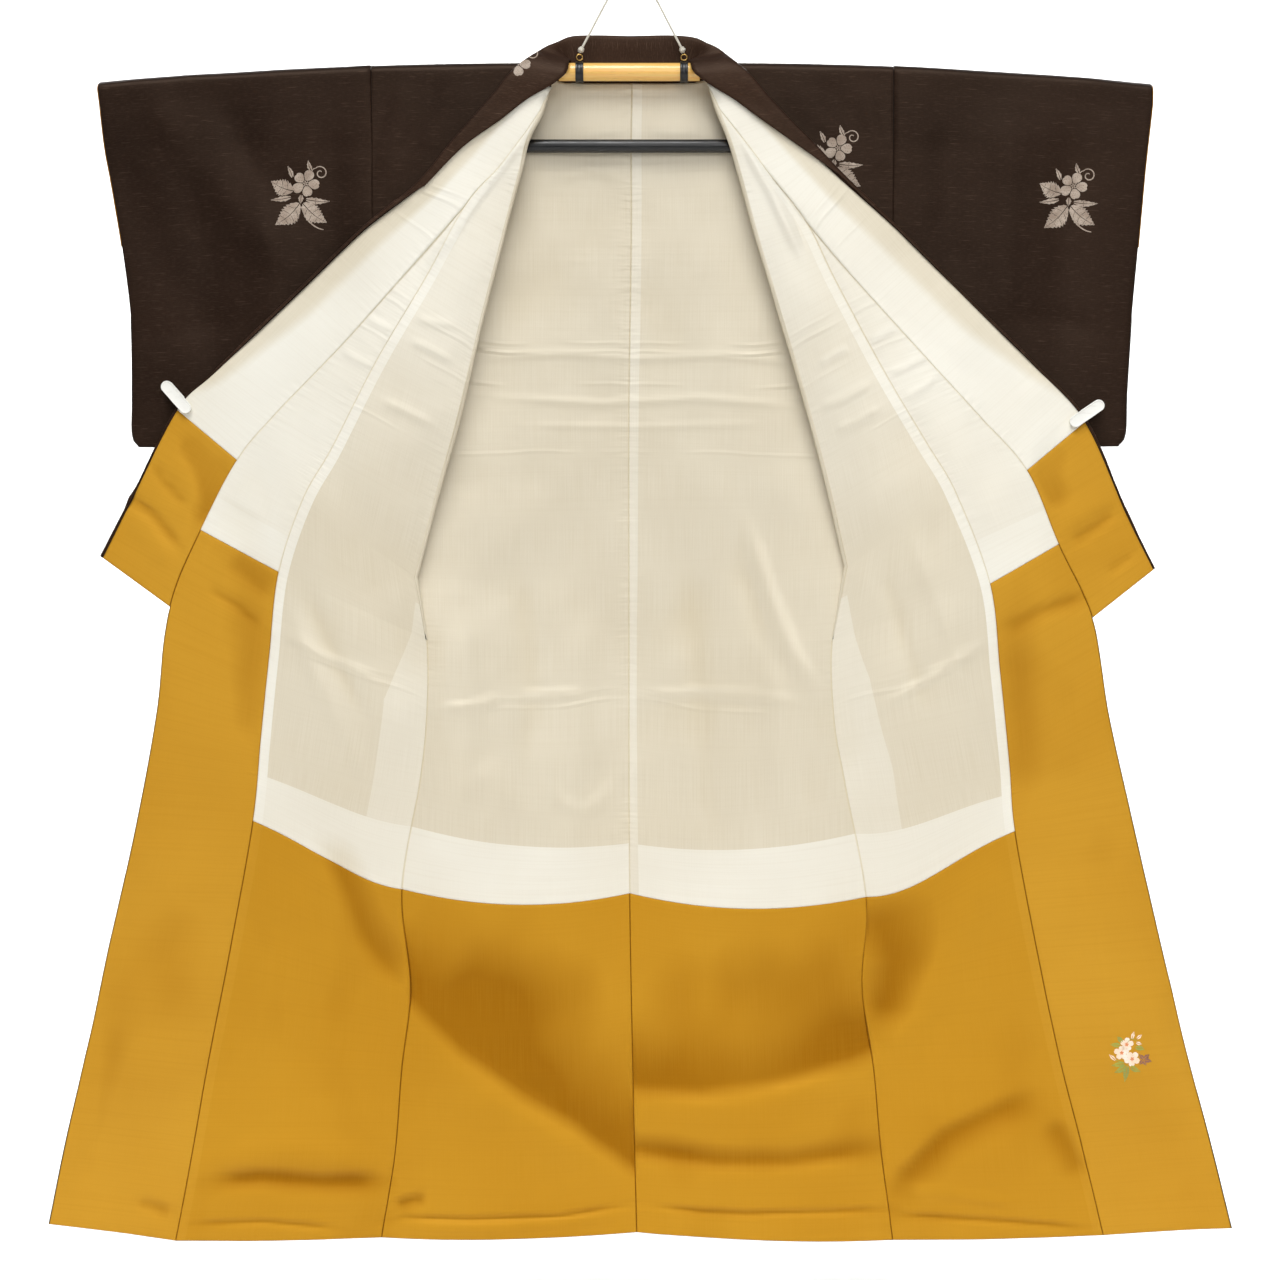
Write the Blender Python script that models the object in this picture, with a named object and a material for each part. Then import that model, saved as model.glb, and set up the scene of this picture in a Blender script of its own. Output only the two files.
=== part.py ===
# Lined kimono hanging on a wooden hanger pole, both fronts opened and turned outwards.
# Sizes are in millimetres. X runs to the right as seen from the front, Y away from the
# viewer, and Z up from the point where a hook bears on the hanging cord. Heights are
# given as drops below that point. Left and right are as seen from the front.

import math

import bmesh
import bpy
import numpy as np

MM = 0.001

# Cloth
OUTER_WALL = 1.2
LINING_WALL = 1.0
PLY_GAP = 0.3
SEAM_GAP = 0.3
EDGE_SHOW = 1.3
MOUTH_ROLL = 1.5

# Fold that turns each front outwards, collar fold, and roll where the collar leaves the neck
FRONT_FOLD_RADIUS = 3.0
COLLAR_FOLD_RADIUS = 2.15
COLLAR_LIP_RADIUS = 0.7
COLLAR_LIP = 0.8
ROLL_RADIUS = 3.0
SIDE_CURL = 3.0

# Hanger
POLE_DROP = 139.7
POLE_RADIUS = 11.5
POLE_ENDS = (-93.0, 86.0)
ARM_RADIUS = 8.5
ARM_LEVEL = 108.0
ARM_REACH = 567.0
ARM_END_GAP = 18.0
WRAP_DEPTH = 13.6
WRAP_RISE = 9.95
BAND_X = (-66.7, 66.0)
BAND_WIDTH = 10.0
BAND_RADIUS = 13.5
EYE_RADIUS = 3.8
EYE_WIRE = 0.9
KNOT_RADIUS = 4.2
KNOT_LIFT = 1.2
CORD_RADIUS = 1.5
BIGHT_RADIUS = 9.0
BAR_DROP = 233.7
BAR_RADIUS = 8.5
BAR_ENDS = (-152.0, 150.0)
LINK_RADIUS = 4.0
LINK_INSET = 7.0
CLIP_LENGTH = 50.0
CLIP_WIDTH = 15.0
CLIP_JAW = 3.5
TOUCH_GAP = 0.3

# Sections of the garment run from the shoulder fold, 0, to the hem, 16. A section follows
# the weft, so on the turned front it climbs towards the front edge.
SHOULDER = 0
NECK_LEVEL = 1
FOLD_START = 1.5
TIP = 4
ATTACHED = 4
FOLD_END = 8
JOINED = 9
COLLAR_END = 10
BODY_LINING_END = 12
PANEL_LINING_END = 9
COLLAR_LINING_END = 8
BODY_SECTIONS = (1, 2, 3, 4, 5, 6, 7, 8, 9, 10, 11, 12, 13, 14, 15, 16)
WRAP_ANGLES = (0, 30, 60, 90)

# Each table has the columns section, x, drop, depth
CENTRE_BACK = (
    (1, 0, 157, 18.5),
    (2, -1, 217, 14),
    (4, -1, 351, 16),
    (6, -4, 564, 26),
    (8, -4, 782, 36),
    (9, -4, 861, 38),
    (10, -4, 957, 38),
    (12, -3, 1185, 32),
    (14, 1, 1410, 20),
    (16, 6, 1615, 12),
)
LEFT = {
    "sign": -1,
    "neck": 105.4,
    "sag": 24.0,
    "side": (
        (0, -330, 132, 0),
        (1, -330, 160, 0),
        (2, -329, 220, 0),
        (3, -329, 264, 0),
        (4, -328, 353, 0),
        (5, -325, 449, 1),
        (6, -317, 567, -2),
        (7, -297, 686, -4),
        (8, -279, 782, -5),
        (9, -260, 861, -8),
        (10, -260, 956, -12),
        (11, -268, 1038, -14),
        (12, -291, 1176, -14),
        (13, -281, 1305, -8),
        (14, -292, 1407, -4),
        (15, -301, 1515, -2),
        (16, -318, 1620, 0),
    ),
    "fold": (
        (1, -105, 162, -13.6),
        (1.5, -113, 193, -14),
        (2, -128, 222, -14.5),
        (3, -139, 266, -15),
        (4, -157, 335, -15.5),
        (5, -187, 451, -15),
        (6, -215, 567, -13),
        (7, -247, 686, -11),
        (8, -272, 782, -8),
    ),
    "seam": (
        (2, -136, 223, -21),
        (3, -168, 265, -22),
        (4, -209, 311, -24),
        (5, -262, 407, -27),
        (6, -324, 513, -30),
        (7, -378, 619, -32),
        (8, -414, 683, -33),
        (9, -445, 775, -32),
        (10, -457, 880, -30),
        (11, -468, 987, -28),
        (12, -478, 1089, -26),
        (13, -507, 1247, -18),
        (14, -537, 1399, -14),
        (15, -557, 1513, -12),
        (16, -578, 1622, -10),
    ),
    "edge": (
        (4, -209, 311, -24),
        (5, -281, 394, -27.5),
        (6, -366, 490, -29),
        (7, -450, 577, -28),
        (8, -498, 634, -26),
        (9, -544, 722, -26),
        (10, -583, 819, -26),
        (11, -600, 953, -24),
        (12, -624, 1082, -20),
        (13, -660, 1240, -16),
        (14, -690, 1380, -14),
        (15, -717, 1494, -12),
        (16, -739, 1601, -10),
    ),
    "collar fold": (
        (0, 0, 94, 17.3),
        (0.1, -45, 93, 17.3),
        (0.2, -75, 94, 16.5),
        (0.3, -87, 98, 14),
        (0.4, -96, 103, 10),
        (0.5, -106, 108, 5),
        (0.6, -116, 115, 0),
        (0.7, -125, 122, -10),
        (0.8, -134, 129, -16),
        (1, -149, 143, -20),
        (1.5, -170, 169, -22.5),
        (2, -194, 197, -24.5),
        (3, -227, 235, -26),
        (4, -270, 286, -26.5),
        (5, -340, 343, -22),
        (6, -432, 431, -19),
        (7, -528, 522, -18),
        (8, -576, 569, -18),
        (9, -633, 682, -20),
        (10, -670, 756, -22),
    ),
    "collar free": (
        (0, 0, 146, 16.2),
        (0.1, -43, 146, 16.2),
        (0.2, -65, 145, 16.0),
        (0.3, -73, 141, 15.4),
        (0.4, -76, 133, 13.4),
        (0.5, -78, 125, 6),
        (0.6, -79, 125, 0),
        (0.7, -80, 130, -15),
        (0.8, -81, 141, -24),
        (1, -91, 153, -27),
        (1.5, -132, 178, -25),
        (2, -161, 201, -27),
        (3, -213, 239, -28.5),
        (4, -262, 289, -29),
    ),
    "sleeve inner": (
        (4, -328, 353, 10.5),
        (5, -329, 449, 9),
        (6, -324, 546, 7.5),
        (7, -320, 602, 5),
        (8, -318, 618, 0),
    ),
    "sleeve outer": (
        (0, -676, 152, 0),
        (1, -674, 160, 0),
        (2, -668, 220, 0),
        (3, -661, 264, 0),
        (4, -647, 353, 0),
        (5, -636, 450, 0),
        (6, -634, 546, 0),
        (7, -634, 600, 0),
        (8, -626, 615, 0),
    ),
    "clip": {"tail": (-590, 538), "nose": (-561, 571)},
}
RIGHT = {
    "sign": 1,
    "neck": 98.4,
    "sag": 28.0,
    "side": (
        (0, 331, 136, 0),
        (1, 331, 160, 0),
        (2, 331, 220, 0),
        (3, 331, 264, 0),
        (4, 330, 353, 0),
        (5, 328, 449, 1),
        (6, 317, 577, -2),
        (7, 297, 680, -4),
        (8, 277, 768, -5),
        (9, 254, 861, -8),
        (10, 256, 965, -12),
        (11, 270, 1045, -14),
        (12, 296, 1186, -14),
        (13, 292, 1298, -8),
        (14, 306, 1400, -4),
        (15, 316, 1508, -2),
        (16, 331, 1623, 0),
    ),
    "fold": (
        (1, 98, 157, -13.6),
        (1.5, 107, 190, -14),
        (2, 119, 221, -14.5),
        (3, 134, 269, -15),
        (4, 156, 350, -15.5),
        (5, 185, 446, -15),
        (6, 223, 577, -13),
        (7, 250, 680, -11),
        (8, 270, 768, -8),
    ),
    "seam": (
        (2, 133, 219, -21),
        (3, 169, 267, -22),
        (4, 220, 333, -24),
        (5, 257, 408, -27),
        (6, 320, 526, -30),
        (7, 372, 614, -32),
        (8, 408, 676, -33),
        (9, 451, 790, -32),
        (10, 464, 901, -30),
        (11, 476, 1019, -28),
        (12, 483, 1102, -26),
        (13, 512, 1253, -18),
        (14, 542, 1393, -14),
        (15, 571, 1507, -12),
        (16, 597, 1615, -10),
    ),
    "edge": (
        (4, 220, 333, -24),
        (5, 274, 398, -27.5),
        (6, 372, 507, -29),
        (7, 439, 580, -28),
        (8, 498, 647, -26),
        (9, 538, 740, -26),
        (10, 581, 833, -26),
        (11, 601, 953, -24),
        (12, 631, 1082, -20),
        (13, 668, 1240, -16),
        (14, 702, 1380, -14),
        (15, 732, 1494, -12),
        (16, 760, 1606, -10),
    ),
    "collar fold": (
        (0, 0, 94, 17.3),
        (0.1, 46, 93, 17.3),
        (0.2, 75, 95, 16.5),
        (0.3, 87, 99, 14),
        (0.4, 95, 104, 10),
        (0.5, 106, 110, 5),
        (0.6, 116, 118, 0),
        (0.7, 125, 127, -12.5),
        (0.8, 135, 136, -19),
        (1, 149, 150, -22),
        (1.5, 169, 174, -23),
        (2, 191, 198, -24.5),
        (3, 227, 235, -26),
        (4, 266, 276, -26.5),
        (5, 336, 342, -22),
        (6, 441, 446, -19),
        (7, 511, 515, -18),
        (8, 574, 584, -18),
        (9, 626, 701, -20),
        (10, 660, 771, -22),
    ),
    "collar free": (
        (0, 0, 146, 16.2),
        (0.1, 45, 146, 16.2),
        (0.2, 64, 145, 16.0),
        (0.3, 70, 141, 15.4),
        (0.4, 73, 133, 13.4),
        (0.5, 74, 125, 6),
        (0.6, 74, 125, 0),
        (0.7, 74, 130, -15),
        (0.8, 76, 141, -24),
        (1, 88, 153, -27),
        (1.5, 128, 178, -25),
        (2, 156, 199, -27),
        (3, 212, 239, -28.5),
        (4, 260, 273, -29),
    ),
    "sleeve inner": (
        (4, 330, 353, 10.5),
        (5, 332, 449, 9),
        (6, 327, 546, 7.5),
        (7, 323, 602, 5),
        (8, 321, 618, 0),
    ),
    "sleeve outer": (
        (0, 659, 156, 0),
        (1, 659, 160, 0),
        (2, 653, 220, 0),
        (3, 649, 264, 0),
        (4, 642, 353, 0),
        (5, 634, 450, 0),
        (6, 628, 546, 0),
        (7, 626, 600, 0),
        (8, 617, 614, 0),
    ),
    "clip": {"tail": (592, 563), "nose": (557, 587)},
}
HALVES = {"left": LEFT, "right": RIGHT}

# Columns: section, half the distance between back and front at the side
SIDE_OPENING = ((1, 13.6), (2, 13.0), (3, 12.0), (4, 10.5), (5, 4.5), (6, 1.6), (8, 1.6))
# Columns: section, half the sleeve mouth
MOUTH_OPENING = ((0, 13.6), (1, 12.5), (2, 9.5), (3, 7.0), (4, 2.5), (5, 0.0), (8, 0.0))
# Columns: section, degrees that the folded collar leans inwards off the vertical
COLLAR_LEAN = ((0, 0), (0.3, 0), (0.4, 25), (0.5, 50), (0.6, 75), (0.7, 55), (0.8, 25), (1, 0), (10, 0))
# Columns: section, how far the collar rolls over at its seam
COLLAR_ROLL = ((0, 0), (0.4, 0), (0.5, 0.5), (0.6, 1), (1, 1), (1.5, 0), (10, 0))
# Columns: section, collar fold radius, lining set-back from the fold
COLLAR_FOLDING = (
    (0, COLLAR_FOLD_RADIUS, 7.0),
    (3, COLLAR_FOLD_RADIUS, 7.0),
    (4, 1.8, 5.0),
    (5, COLLAR_LIP_RADIUS, 2.0),
    (10, COLLAR_LIP_RADIUS, 2.0),
)
# Columns: section, how far the middle of the back sags below its ends, and how far the
# middle of the turned front and of the overlap panel stand out
BODY_SHAPE = (
    (1, 0, 0, 0),
    (4, 0, 2, 0),
    (6, 0, 5, 2),
    (8, 2, 9, 4),
    (9, 4, 12, 6),
    (10, 8, 12, 8),
    (11, 12, 6, 6),
    (12, 18, -8, 2),
    (13, 14, -12, 8),
    (14, 8, -8, 10),
    (15, 6, 6, -6),
    (16, 6, 8, -6),
)
NECK_SHARES = (0.0, 0.43, 0.81, 0.925)
NECK_EDGE_DROPS = (151.0, 151.0, 150.5, 148.0)
NECK_EDGE_DEPTHS = (19.5, 19.5, 18.0, 15.5)
BACK_SHARES = (0.55, 0.78)
SLEEVE_SHARES = (0.0, 0.22, 0.45, 0.68, 0.86, 0.95, 1.0)

COLOURS = {
    "outer silk": ((0.030, 0.022, 0.019), 0.55, 0.0),
    "ivory lining": ((0.80, 0.74, 0.60), 0.40, 0.0),
    "mustard lining": ((0.60, 0.33, 0.035), 0.42, 0.0),
    "pale wood": ((0.86, 0.47, 0.14), 0.35, 0.0),
    "black plastic": ((0.015, 0.015, 0.016), 0.30, 0.0),
    "brass": ((0.75, 0.52, 0.20), 0.30, 1.0),
    "cord": ((0.80, 0.78, 0.70), 0.80, 0.0),
    "white plastic": ((0.85, 0.85, 0.83), 0.35, 0.0),
}


def clear_scene():
    for obj in list(bpy.data.objects):
        bpy.data.objects.remove(obj, do_unlink=True)


def material(name):
    found = bpy.data.materials.get(name)
    if found:
        return found
    colour, roughness, metallic = COLOURS[name]
    made = bpy.data.materials.new(name)
    made.use_nodes = True
    shader = made.node_tree.nodes["Principled BSDF"]
    shader.inputs["Base Color"].default_value = (*colour, 1.0)
    shader.inputs["Roughness"].default_value = roughness
    shader.inputs["Metallic"].default_value = metallic
    made.diffuse_color = (*colour, 1.0)
    return made


def read_table(rows, section):
    """Smooth value of a table's columns at any section."""
    table = np.array(rows, dtype=float)
    knots = table[:, 0]
    values = table[:, 1:]
    slopes = np.gradient(values, knots, axis=0)
    last = len(knots) - 2
    k = int(np.clip(np.searchsorted(knots, section, side="right") - 1, 0, last))
    span = knots[k + 1] - knots[k]
    t = (section - knots[k]) / span
    rest = 1 - t
    return (
        values[k] * (1 + 2 * t) * rest**2
        + values[k + 1] * t**2 * (3 - 2 * t)
        + slopes[k] * span * t * rest**2
        - slopes[k + 1] * span * t**2 * rest
    )


def read_straight(rows, section):
    """Straight-line value of a table's columns at any section."""
    table = np.array(rows, dtype=float)
    return [float(np.interp(section, table[:, 0], column)) for column in table[:, 1:].T]


def place(row):
    """A table row of x, drop, depth as a point."""
    x, drop, depth = row
    return np.array((x, depth, -drop))


def unit(vector):
    return vector / np.linalg.norm(vector)


def mix(a, b, share):
    return a + (b - a) * share


class Cloth:
    """The surface between outer cloth and lining, held as shared points and named panels.

    A face's normal points to the lining's side. Every wall is this surface moved along
    the same point normals, so neighbouring pieces stay a seam's gap apart.
    """

    def __init__(self):
        self.points = []
        self.keys = []
        self.index = {}
        self.panels = {}

    def put(self, key, point):
        if key not in self.index:
            self.index[key] = len(self.points)
            self.points.append(np.array(point, dtype=float))
            self.keys.append(key)
        return key

    def at(self, key):
        return self.points[self.index[key]]

    def grid(self, panel, rows, flip):
        """Faces between neighbouring rows of points, each cut along its shorter diagonal."""
        faces = self.panels.setdefault(panel, [])
        for upper, lower in zip(rows, rows[1:]):
            for k in range(len(upper) - 1):
                loop = [upper[k], lower[k], lower[k + 1], upper[k + 1]]
                corners = list(dict.fromkeys(self.index[key] for key in loop))
                if len(corners) < 3:
                    continue
                if flip:
                    corners.reverse()
                if len(corners) == 3:
                    faces.append(corners)
                    continue
                a, b, c, d = corners
                if self.distance(a, c) <= self.distance(b, d):
                    faces += [[a, b, c], [a, c, d]]
                else:
                    faces += [[a, b, d], [b, c, d]]

    def distance(self, a, b):
        return round(float(np.linalg.norm(self.points[a] - self.points[b])), 2)

    def corner_angle(self, face, k):
        here = self.points[face[k]]
        ahead = unit(self.points[face[(k + 1) % 3]] - here)
        behind = unit(self.points[face[k - 1]] - here)
        return math.acos(float(np.clip(ahead @ behind, -1, 1)))

    def face_normal(self, face):
        a, b, c = (self.points[corner] for corner in face)
        return unit(np.cross(b - a, c - a))

    def normals(self, panels):
        """Point normals over these panels, lengthened where the cloth bends."""
        total = np.zeros((len(self.points), 3))
        faces = [face for panel in panels for face in self.panels[panel]]
        for face in faces:
            for k, corner in enumerate(face):
                total[corner] += self.face_normal(face) * self.corner_angle(face, k)
        lengths = np.linalg.norm(total, axis=1)
        total /= np.where(lengths > 0, lengths, 1)[:, None]
        slant = np.zeros(len(self.points))
        weight = np.zeros(len(self.points))
        for face in faces:
            for k, corner in enumerate(face):
                share = self.corner_angle(face, k)
                slant[corner] += share * float(self.face_normal(face) @ total[corner])
                weight[corner] += share
        slant /= np.where(weight > 0, weight, 1)
        return total / np.clip(slant, 0.75, 1.0)[:, None]


def boundary_edges(faces):
    edges = {}
    for face in faces:
        for a, b in zip(face, face[1:] + face[:1]):
            edges[(a, b)] = True
    return [(a, b) for a, b in edges if (b, a) not in edges]


def inset_points(cloth, faces, normals, set_back):
    """Moves of a panel's border points into the panel, by each border edge's set-back."""
    pushes = {}
    for a, b in boundary_edges(faces):
        along = cloth.points[b] - cloth.points[a]
        middle = unit(normals[a] + normals[b])
        inward = unit(np.cross(middle, along))
        distance = set_back(cloth.keys[a], cloth.keys[b])
        pushes.setdefault(a, []).append((inward, distance))
        pushes.setdefault(b, []).append((inward, distance))
    moves = {}
    for corner, pair in pushes.items():
        (first, d1), (second, d2) = pair[0], pair[-1]
        c = float(np.clip(first @ second, -0.97, 1.0))
        if len(pair) < 2 or c > 0.98:
            moves[corner] = unit(first + second) * max(d1, d2, key=abs)
            continue
        share_a = (d1 - c * d2) / (1 - c * c)
        share_b = (d2 - c * d1) / (1 - c * c)
        moves[corner] = first * share_a + second * share_b
    return moves


def add_object(name, vertices, faces, material_name, smooth=False):
    mesh = bpy.data.meshes.new(name)
    mesh.from_pydata([tuple(v) for v in vertices], [], faces)
    mesh.validate()
    mesh.update()
    if smooth:
        mesh.shade_smooth()
        mesh.set_sharp_from_angle(angle=math.radians(40))
    obj = bpy.data.objects.new(name, mesh)
    bpy.context.collection.objects.link(obj)
    mesh.materials.append(material(material_name))
    return obj


def seam_set_back(key_a, key_b):
    return SEAM_GAP / 2


def lining_set_back(key_a, key_b):
    """The lining stops short of the front edge, so the outer cloth shows as a thin line."""
    on_edge = key_a[1] == "edge" and key_b[1] == "edge"
    if on_edge and min(key_a[2], key_b[2]) >= COLLAR_END:
        return EDGE_SHOW
    return SEAM_GAP / 2


def mouth_set_back(key_a, key_b):
    """The mouth facing rolls a little way out past the sleeve."""
    outermost = len(SLEEVE_SHARES) - 1
    if key_a[2] == outermost and key_b[2] == outermost:
        return -MOUTH_ROLL
    return SEAM_GAP / 2


def add_wall(cloth, normals, panel, name, near, far, material_name, set_back):
    """A closed wall between two distances from the cloth's surface."""
    faces = cloth.panels[panel]
    used = sorted({corner for face in faces for corner in face})
    slot = {corner: k for k, corner in enumerate(used)}
    moves = inset_points(cloth, faces, normals, set_back)
    low = []
    high = []
    for corner in used:
        base = cloth.points[corner] + moves.get(corner, 0.0)
        low.append((base + normals[corner] * near) * MM)
        high.append((base + normals[corner] * far) * MM)
    count = len(used)
    made = []
    for face in faces:
        made.append([slot[c] + count for c in face])
        made.append([slot[c] for c in reversed(face)])
    for a, b in boundary_edges(faces):
        low_a, low_b, high_a, high_b = slot[a], slot[b], slot[a] + count, slot[b] + count
        if a < b:
            made += [[low_a, low_b, high_b], [low_a, high_b, high_a]]
        else:
            made += [[low_a, low_b, high_a], [low_b, high_b, high_a]]
    return add_object(name, low + high, made, material_name)


def add_outer(cloth, normals, panel, name):
    near = -PLY_GAP / 2 - OUTER_WALL
    return add_wall(cloth, normals, panel, name, near, -PLY_GAP / 2, "outer silk", seam_set_back)


def add_lining(cloth, normals, panel, name, material_name, set_back=lining_set_back):
    far = PLY_GAP / 2 + LINING_WALL
    return add_wall(cloth, normals, panel, name, PLY_GAP / 2, far, material_name, set_back)


def arm_drop(half, x):
    """Drop of the hanger's centre line, which bows down towards the sleeve ends."""
    reach = max(0.0, abs(x) - ARM_LEVEL)
    return POLE_DROP + half["sag"] * (reach / ARM_REACH) ** 2


def wrap_point(half, x, degrees):
    """A point of the cloth that lies over the hanger. Positive angles are on the back."""
    angle = math.radians(degrees)
    height = -arm_drop(half, x) + WRAP_RISE * math.cos(angle)
    return np.array((x, WRAP_DEPTH * math.sin(angle), height))


def side_points(cloth, half, side):
    """Points of the side line, which back, front and sleeve share where they are joined."""
    side_x = read_table(half["side"], SHOULDER)[0]
    for angle in WRAP_ANGLES:
        cloth.put((side, "side back", -angle), wrap_point(half, side_x, angle))
        if angle:
            cloth.put((side, "side front", -angle), wrap_point(half, side_x, -angle))
    cloth.index[(side, "side front", 0)] = cloth.index[(side, "side back", 0)]
    for section in BODY_SECTIONS:
        centre = place(read_table(half["side"], section))
        if section >= JOINED:
            cloth.put((side, "side", section), centre)
            continue
        opening = read_straight(SIDE_OPENING, section)[0]
        if section >= 6:
            opening = SEAM_GAP / 2
        offset = np.array((0.0, opening, 0.0))
        cloth.put((side, "side back", section), centre + offset)
        cloth.put((side, "side front", section), centre - offset)


def side_key(side, face, section):
    if section >= JOINED:
        return (side, "side", section)
    return (side, "side " + face, section)


def curl_point(half, section, face_sign):
    """The point next to the side line, where back and front part from each other."""
    centre = place(read_table(half["side"], section))
    opening = read_straight(SIDE_OPENING, section)[0]
    return centre + np.array((-half["sign"] * SIDE_CURL, face_sign * opening, 0.0))


def build_back(cloth, half, side):
    """Back panel, from the centre seam to the side and from the hem to the shoulder fold."""
    sign = half["sign"]
    shoulder_x = read_table(half["side"], SHOULDER)[0]
    neck_x = sign * half["neck"]
    neck_count = len(NECK_SHARES)
    upper_rows = []
    for angle in WRAP_ANGLES:
        row = []
        xs = [neck_x] + [shoulder_x * share for share in BACK_SHARES]
        xs.append(shoulder_x - sign * SIDE_CURL)
        for k, x in enumerate(xs):
            row.append(cloth.put((side, "back", neck_count + k, -angle), wrap_point(half, x, angle)))
        row.append((side, "side back", -angle))
        upper_rows.append(row)
    neck_row = []
    for k, share in enumerate(NECK_SHARES):
        key = ("centre", "neck", 0) if k == 0 else (side, "neck", k)
        point = (neck_x * share, NECK_EDGE_DEPTHS[k], -NECK_EDGE_DROPS[k])
        neck_row.append(cloth.put(key, point))
    upper_rows[-1] = neck_row + upper_rows[-1]
    rows = []
    neck_share = half["neck"] / abs(shoulder_x)
    shares = [share * neck_share for share in NECK_SHARES]
    shares += [neck_share, *BACK_SHARES]
    for section in BODY_SECTIONS:
        centre = place(read_table(CENTRE_BACK, section))
        edge = place(read_table(half["side"], section))
        if section < JOINED:
            edge[1] += read_straight(SIDE_OPENING, section)[0]
        sag = read_straight(BODY_SHAPE, section)[0]
        row = [cloth.put(("centre", "back", section), centre)]
        for k, share in enumerate(shares[1:], 1):
            point = mix(centre, edge, share)
            point[1] = mix(centre[1], edge[1], share**1.6)
            point[2] -= sag * 4 * share * (1 - share)
            row.append(cloth.put((side, "back", k, section), point))
        if section < JOINED:
            point = curl_point(half, section, 1)
        else:
            point = mix(place(read_table(half["side"], section)), cloth.at(row[-1]), 0.06)
        row.append(cloth.put((side, "back", len(shares), section), point))
        row.append(side_key(side, "back", section))
        rows.append(row)
    shoulder = upper_rows[:-1] + [upper_rows[-1][neck_count:]]
    full = upper_rows[-1:] + rows
    flip = sign < 0
    cloth.grid("outer_back_" + side, shoulder, flip)
    cloth.grid("outer_back_" + side, full, flip)
    split = BODY_SECTIONS.index(JOINED) + 1
    hem_start = BODY_SECTIONS.index(BODY_LINING_END) + 1
    lining = "lining_back_" + side
    cloth.grid(lining, [row[:-1] for row in shoulder], flip)
    cloth.grid(lining, [row[:-1] for row in full[: split + 1]], flip)
    cloth.grid(lining, full[split : hem_start + 1], flip)
    cloth.grid("hem_lining_back_" + side, full[hem_start:], flip)


def fold_points(cloth, half, side, section):
    """The half turn at the line where the front is folded outwards."""
    crest = place(read_table(half["fold"], section))
    sign = half["sign"]
    radius = FRONT_FOLD_RADIUS
    keys = []
    for k, degrees in enumerate((0, 60, 120, 180)):
        angle = math.radians(degrees)
        point = crest + np.array((
            sign * radius * (1 - math.sin(angle)),
            -radius * (1 - math.cos(angle)),
            0.0,
        ))
        keys.append(cloth.put((side, "fold", k, section), point))
    return keys


def build_front(cloth, half, side):
    """Front panel: a hidden part, the fold, and the part turned outwards."""
    sign = half["sign"]
    shoulder_x = read_table(half["side"], SHOULDER)[0]
    neck_x = sign * half["neck"]
    neck_count = len(NECK_SHARES)
    hidden = []
    for angle in WRAP_ANGLES:
        row = [(side, "side front", -angle)]
        xs = [shoulder_x - sign * SIDE_CURL]
        xs += [shoulder_x * share for share in BACK_SHARES[::-1]]
        xs.append(neck_x)
        for k, x in enumerate(xs):
            if angle == 0:
                row.append((side, "back", neck_count + len(xs) - 1 - k, 0))
                continue
            row.append(cloth.put((side, "hidden", k, -angle), wrap_point(half, x, -angle)))
        hidden.append(row)
    sections = [1, FOLD_START] + [s for s in BODY_SECTIONS if 2 <= s <= FOLD_END]
    for section in sections:
        side_point = place(read_table(half["side"], section))
        opening = read_straight(SIDE_OPENING, section)[0]
        row = []
        if section == FOLD_START:
            point = side_point - np.array((0.0, opening, 0.0))
            row.append(cloth.put((side, "side front", section), point))
        else:
            row.append((side, "side front", section))
        if section == NECK_LEVEL:
            inner = cloth.put((side, "fold", 0, section), place(read_table(half["fold"], section)))
        else:
            inner = fold_points(cloth, half, side, section)[0]
        start = curl_point(half, section, -1)
        row.append(cloth.put((side, "hidden", 0, section), start))
        end = cloth.at(inner)
        for k, share in enumerate((0.33, 0.67), 1):
            row.append(cloth.put((side, "hidden", k, section), mix(start, end, share)))
        row.append(inner)
        hidden.append(row)
    folded = [[(side, "fold", k, s) for k in range(4)] for s in sections[1:]]
    tip_row = [(side, "fold", 0, NECK_LEVEL)] * 4
    last_row = hidden[-1] + folded[-1][1:]
    vanishing = [last_row, [(side, "side", JOINED)] * len(last_row)]
    turned = [[(side, "fold", 3, FOLD_START)] * 4]
    for section in BODY_SECTIONS[1:]:
        if section < JOINED:
            start_key = (side, "fold", 3, section)
        else:
            start_key = (side, "side", section)
        start = cloth.at(start_key)
        end = place(read_table(half["seam"], section))
        bulge = read_straight(BODY_SHAPE, section)[1]
        row = [start_key]
        for k, share in enumerate((0.33, 0.67), 1):
            point = mix(start, end, share)
            point[1] -= bulge * 4 * share * (1 - share)
            row.append(cloth.put((side, "turned", k, section), point))
        row.append(cloth.put((side, "seam", section), end))
        turned.append(row)
    flip = sign < 0
    outer = "outer_front_" + side
    lining = "lining_front_" + side
    hem_start = BODY_SECTIONS.index(BODY_LINING_END)
    cloth.grid(outer, hidden, flip)
    cloth.grid(outer, [tip_row] + folded, flip)
    cloth.grid(outer, vanishing, flip)
    cloth.grid(outer, turned, flip)
    cloth.grid(lining, [row[1:] for row in hidden], flip)
    cloth.grid(lining, folded, flip)
    cloth.grid(lining, [row[1:] for row in vanishing], flip)
    cloth.grid(lining, turned[: hem_start + 1], flip)
    cloth.grid("hem_lining_front_" + side, turned[hem_start:], flip)


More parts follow.
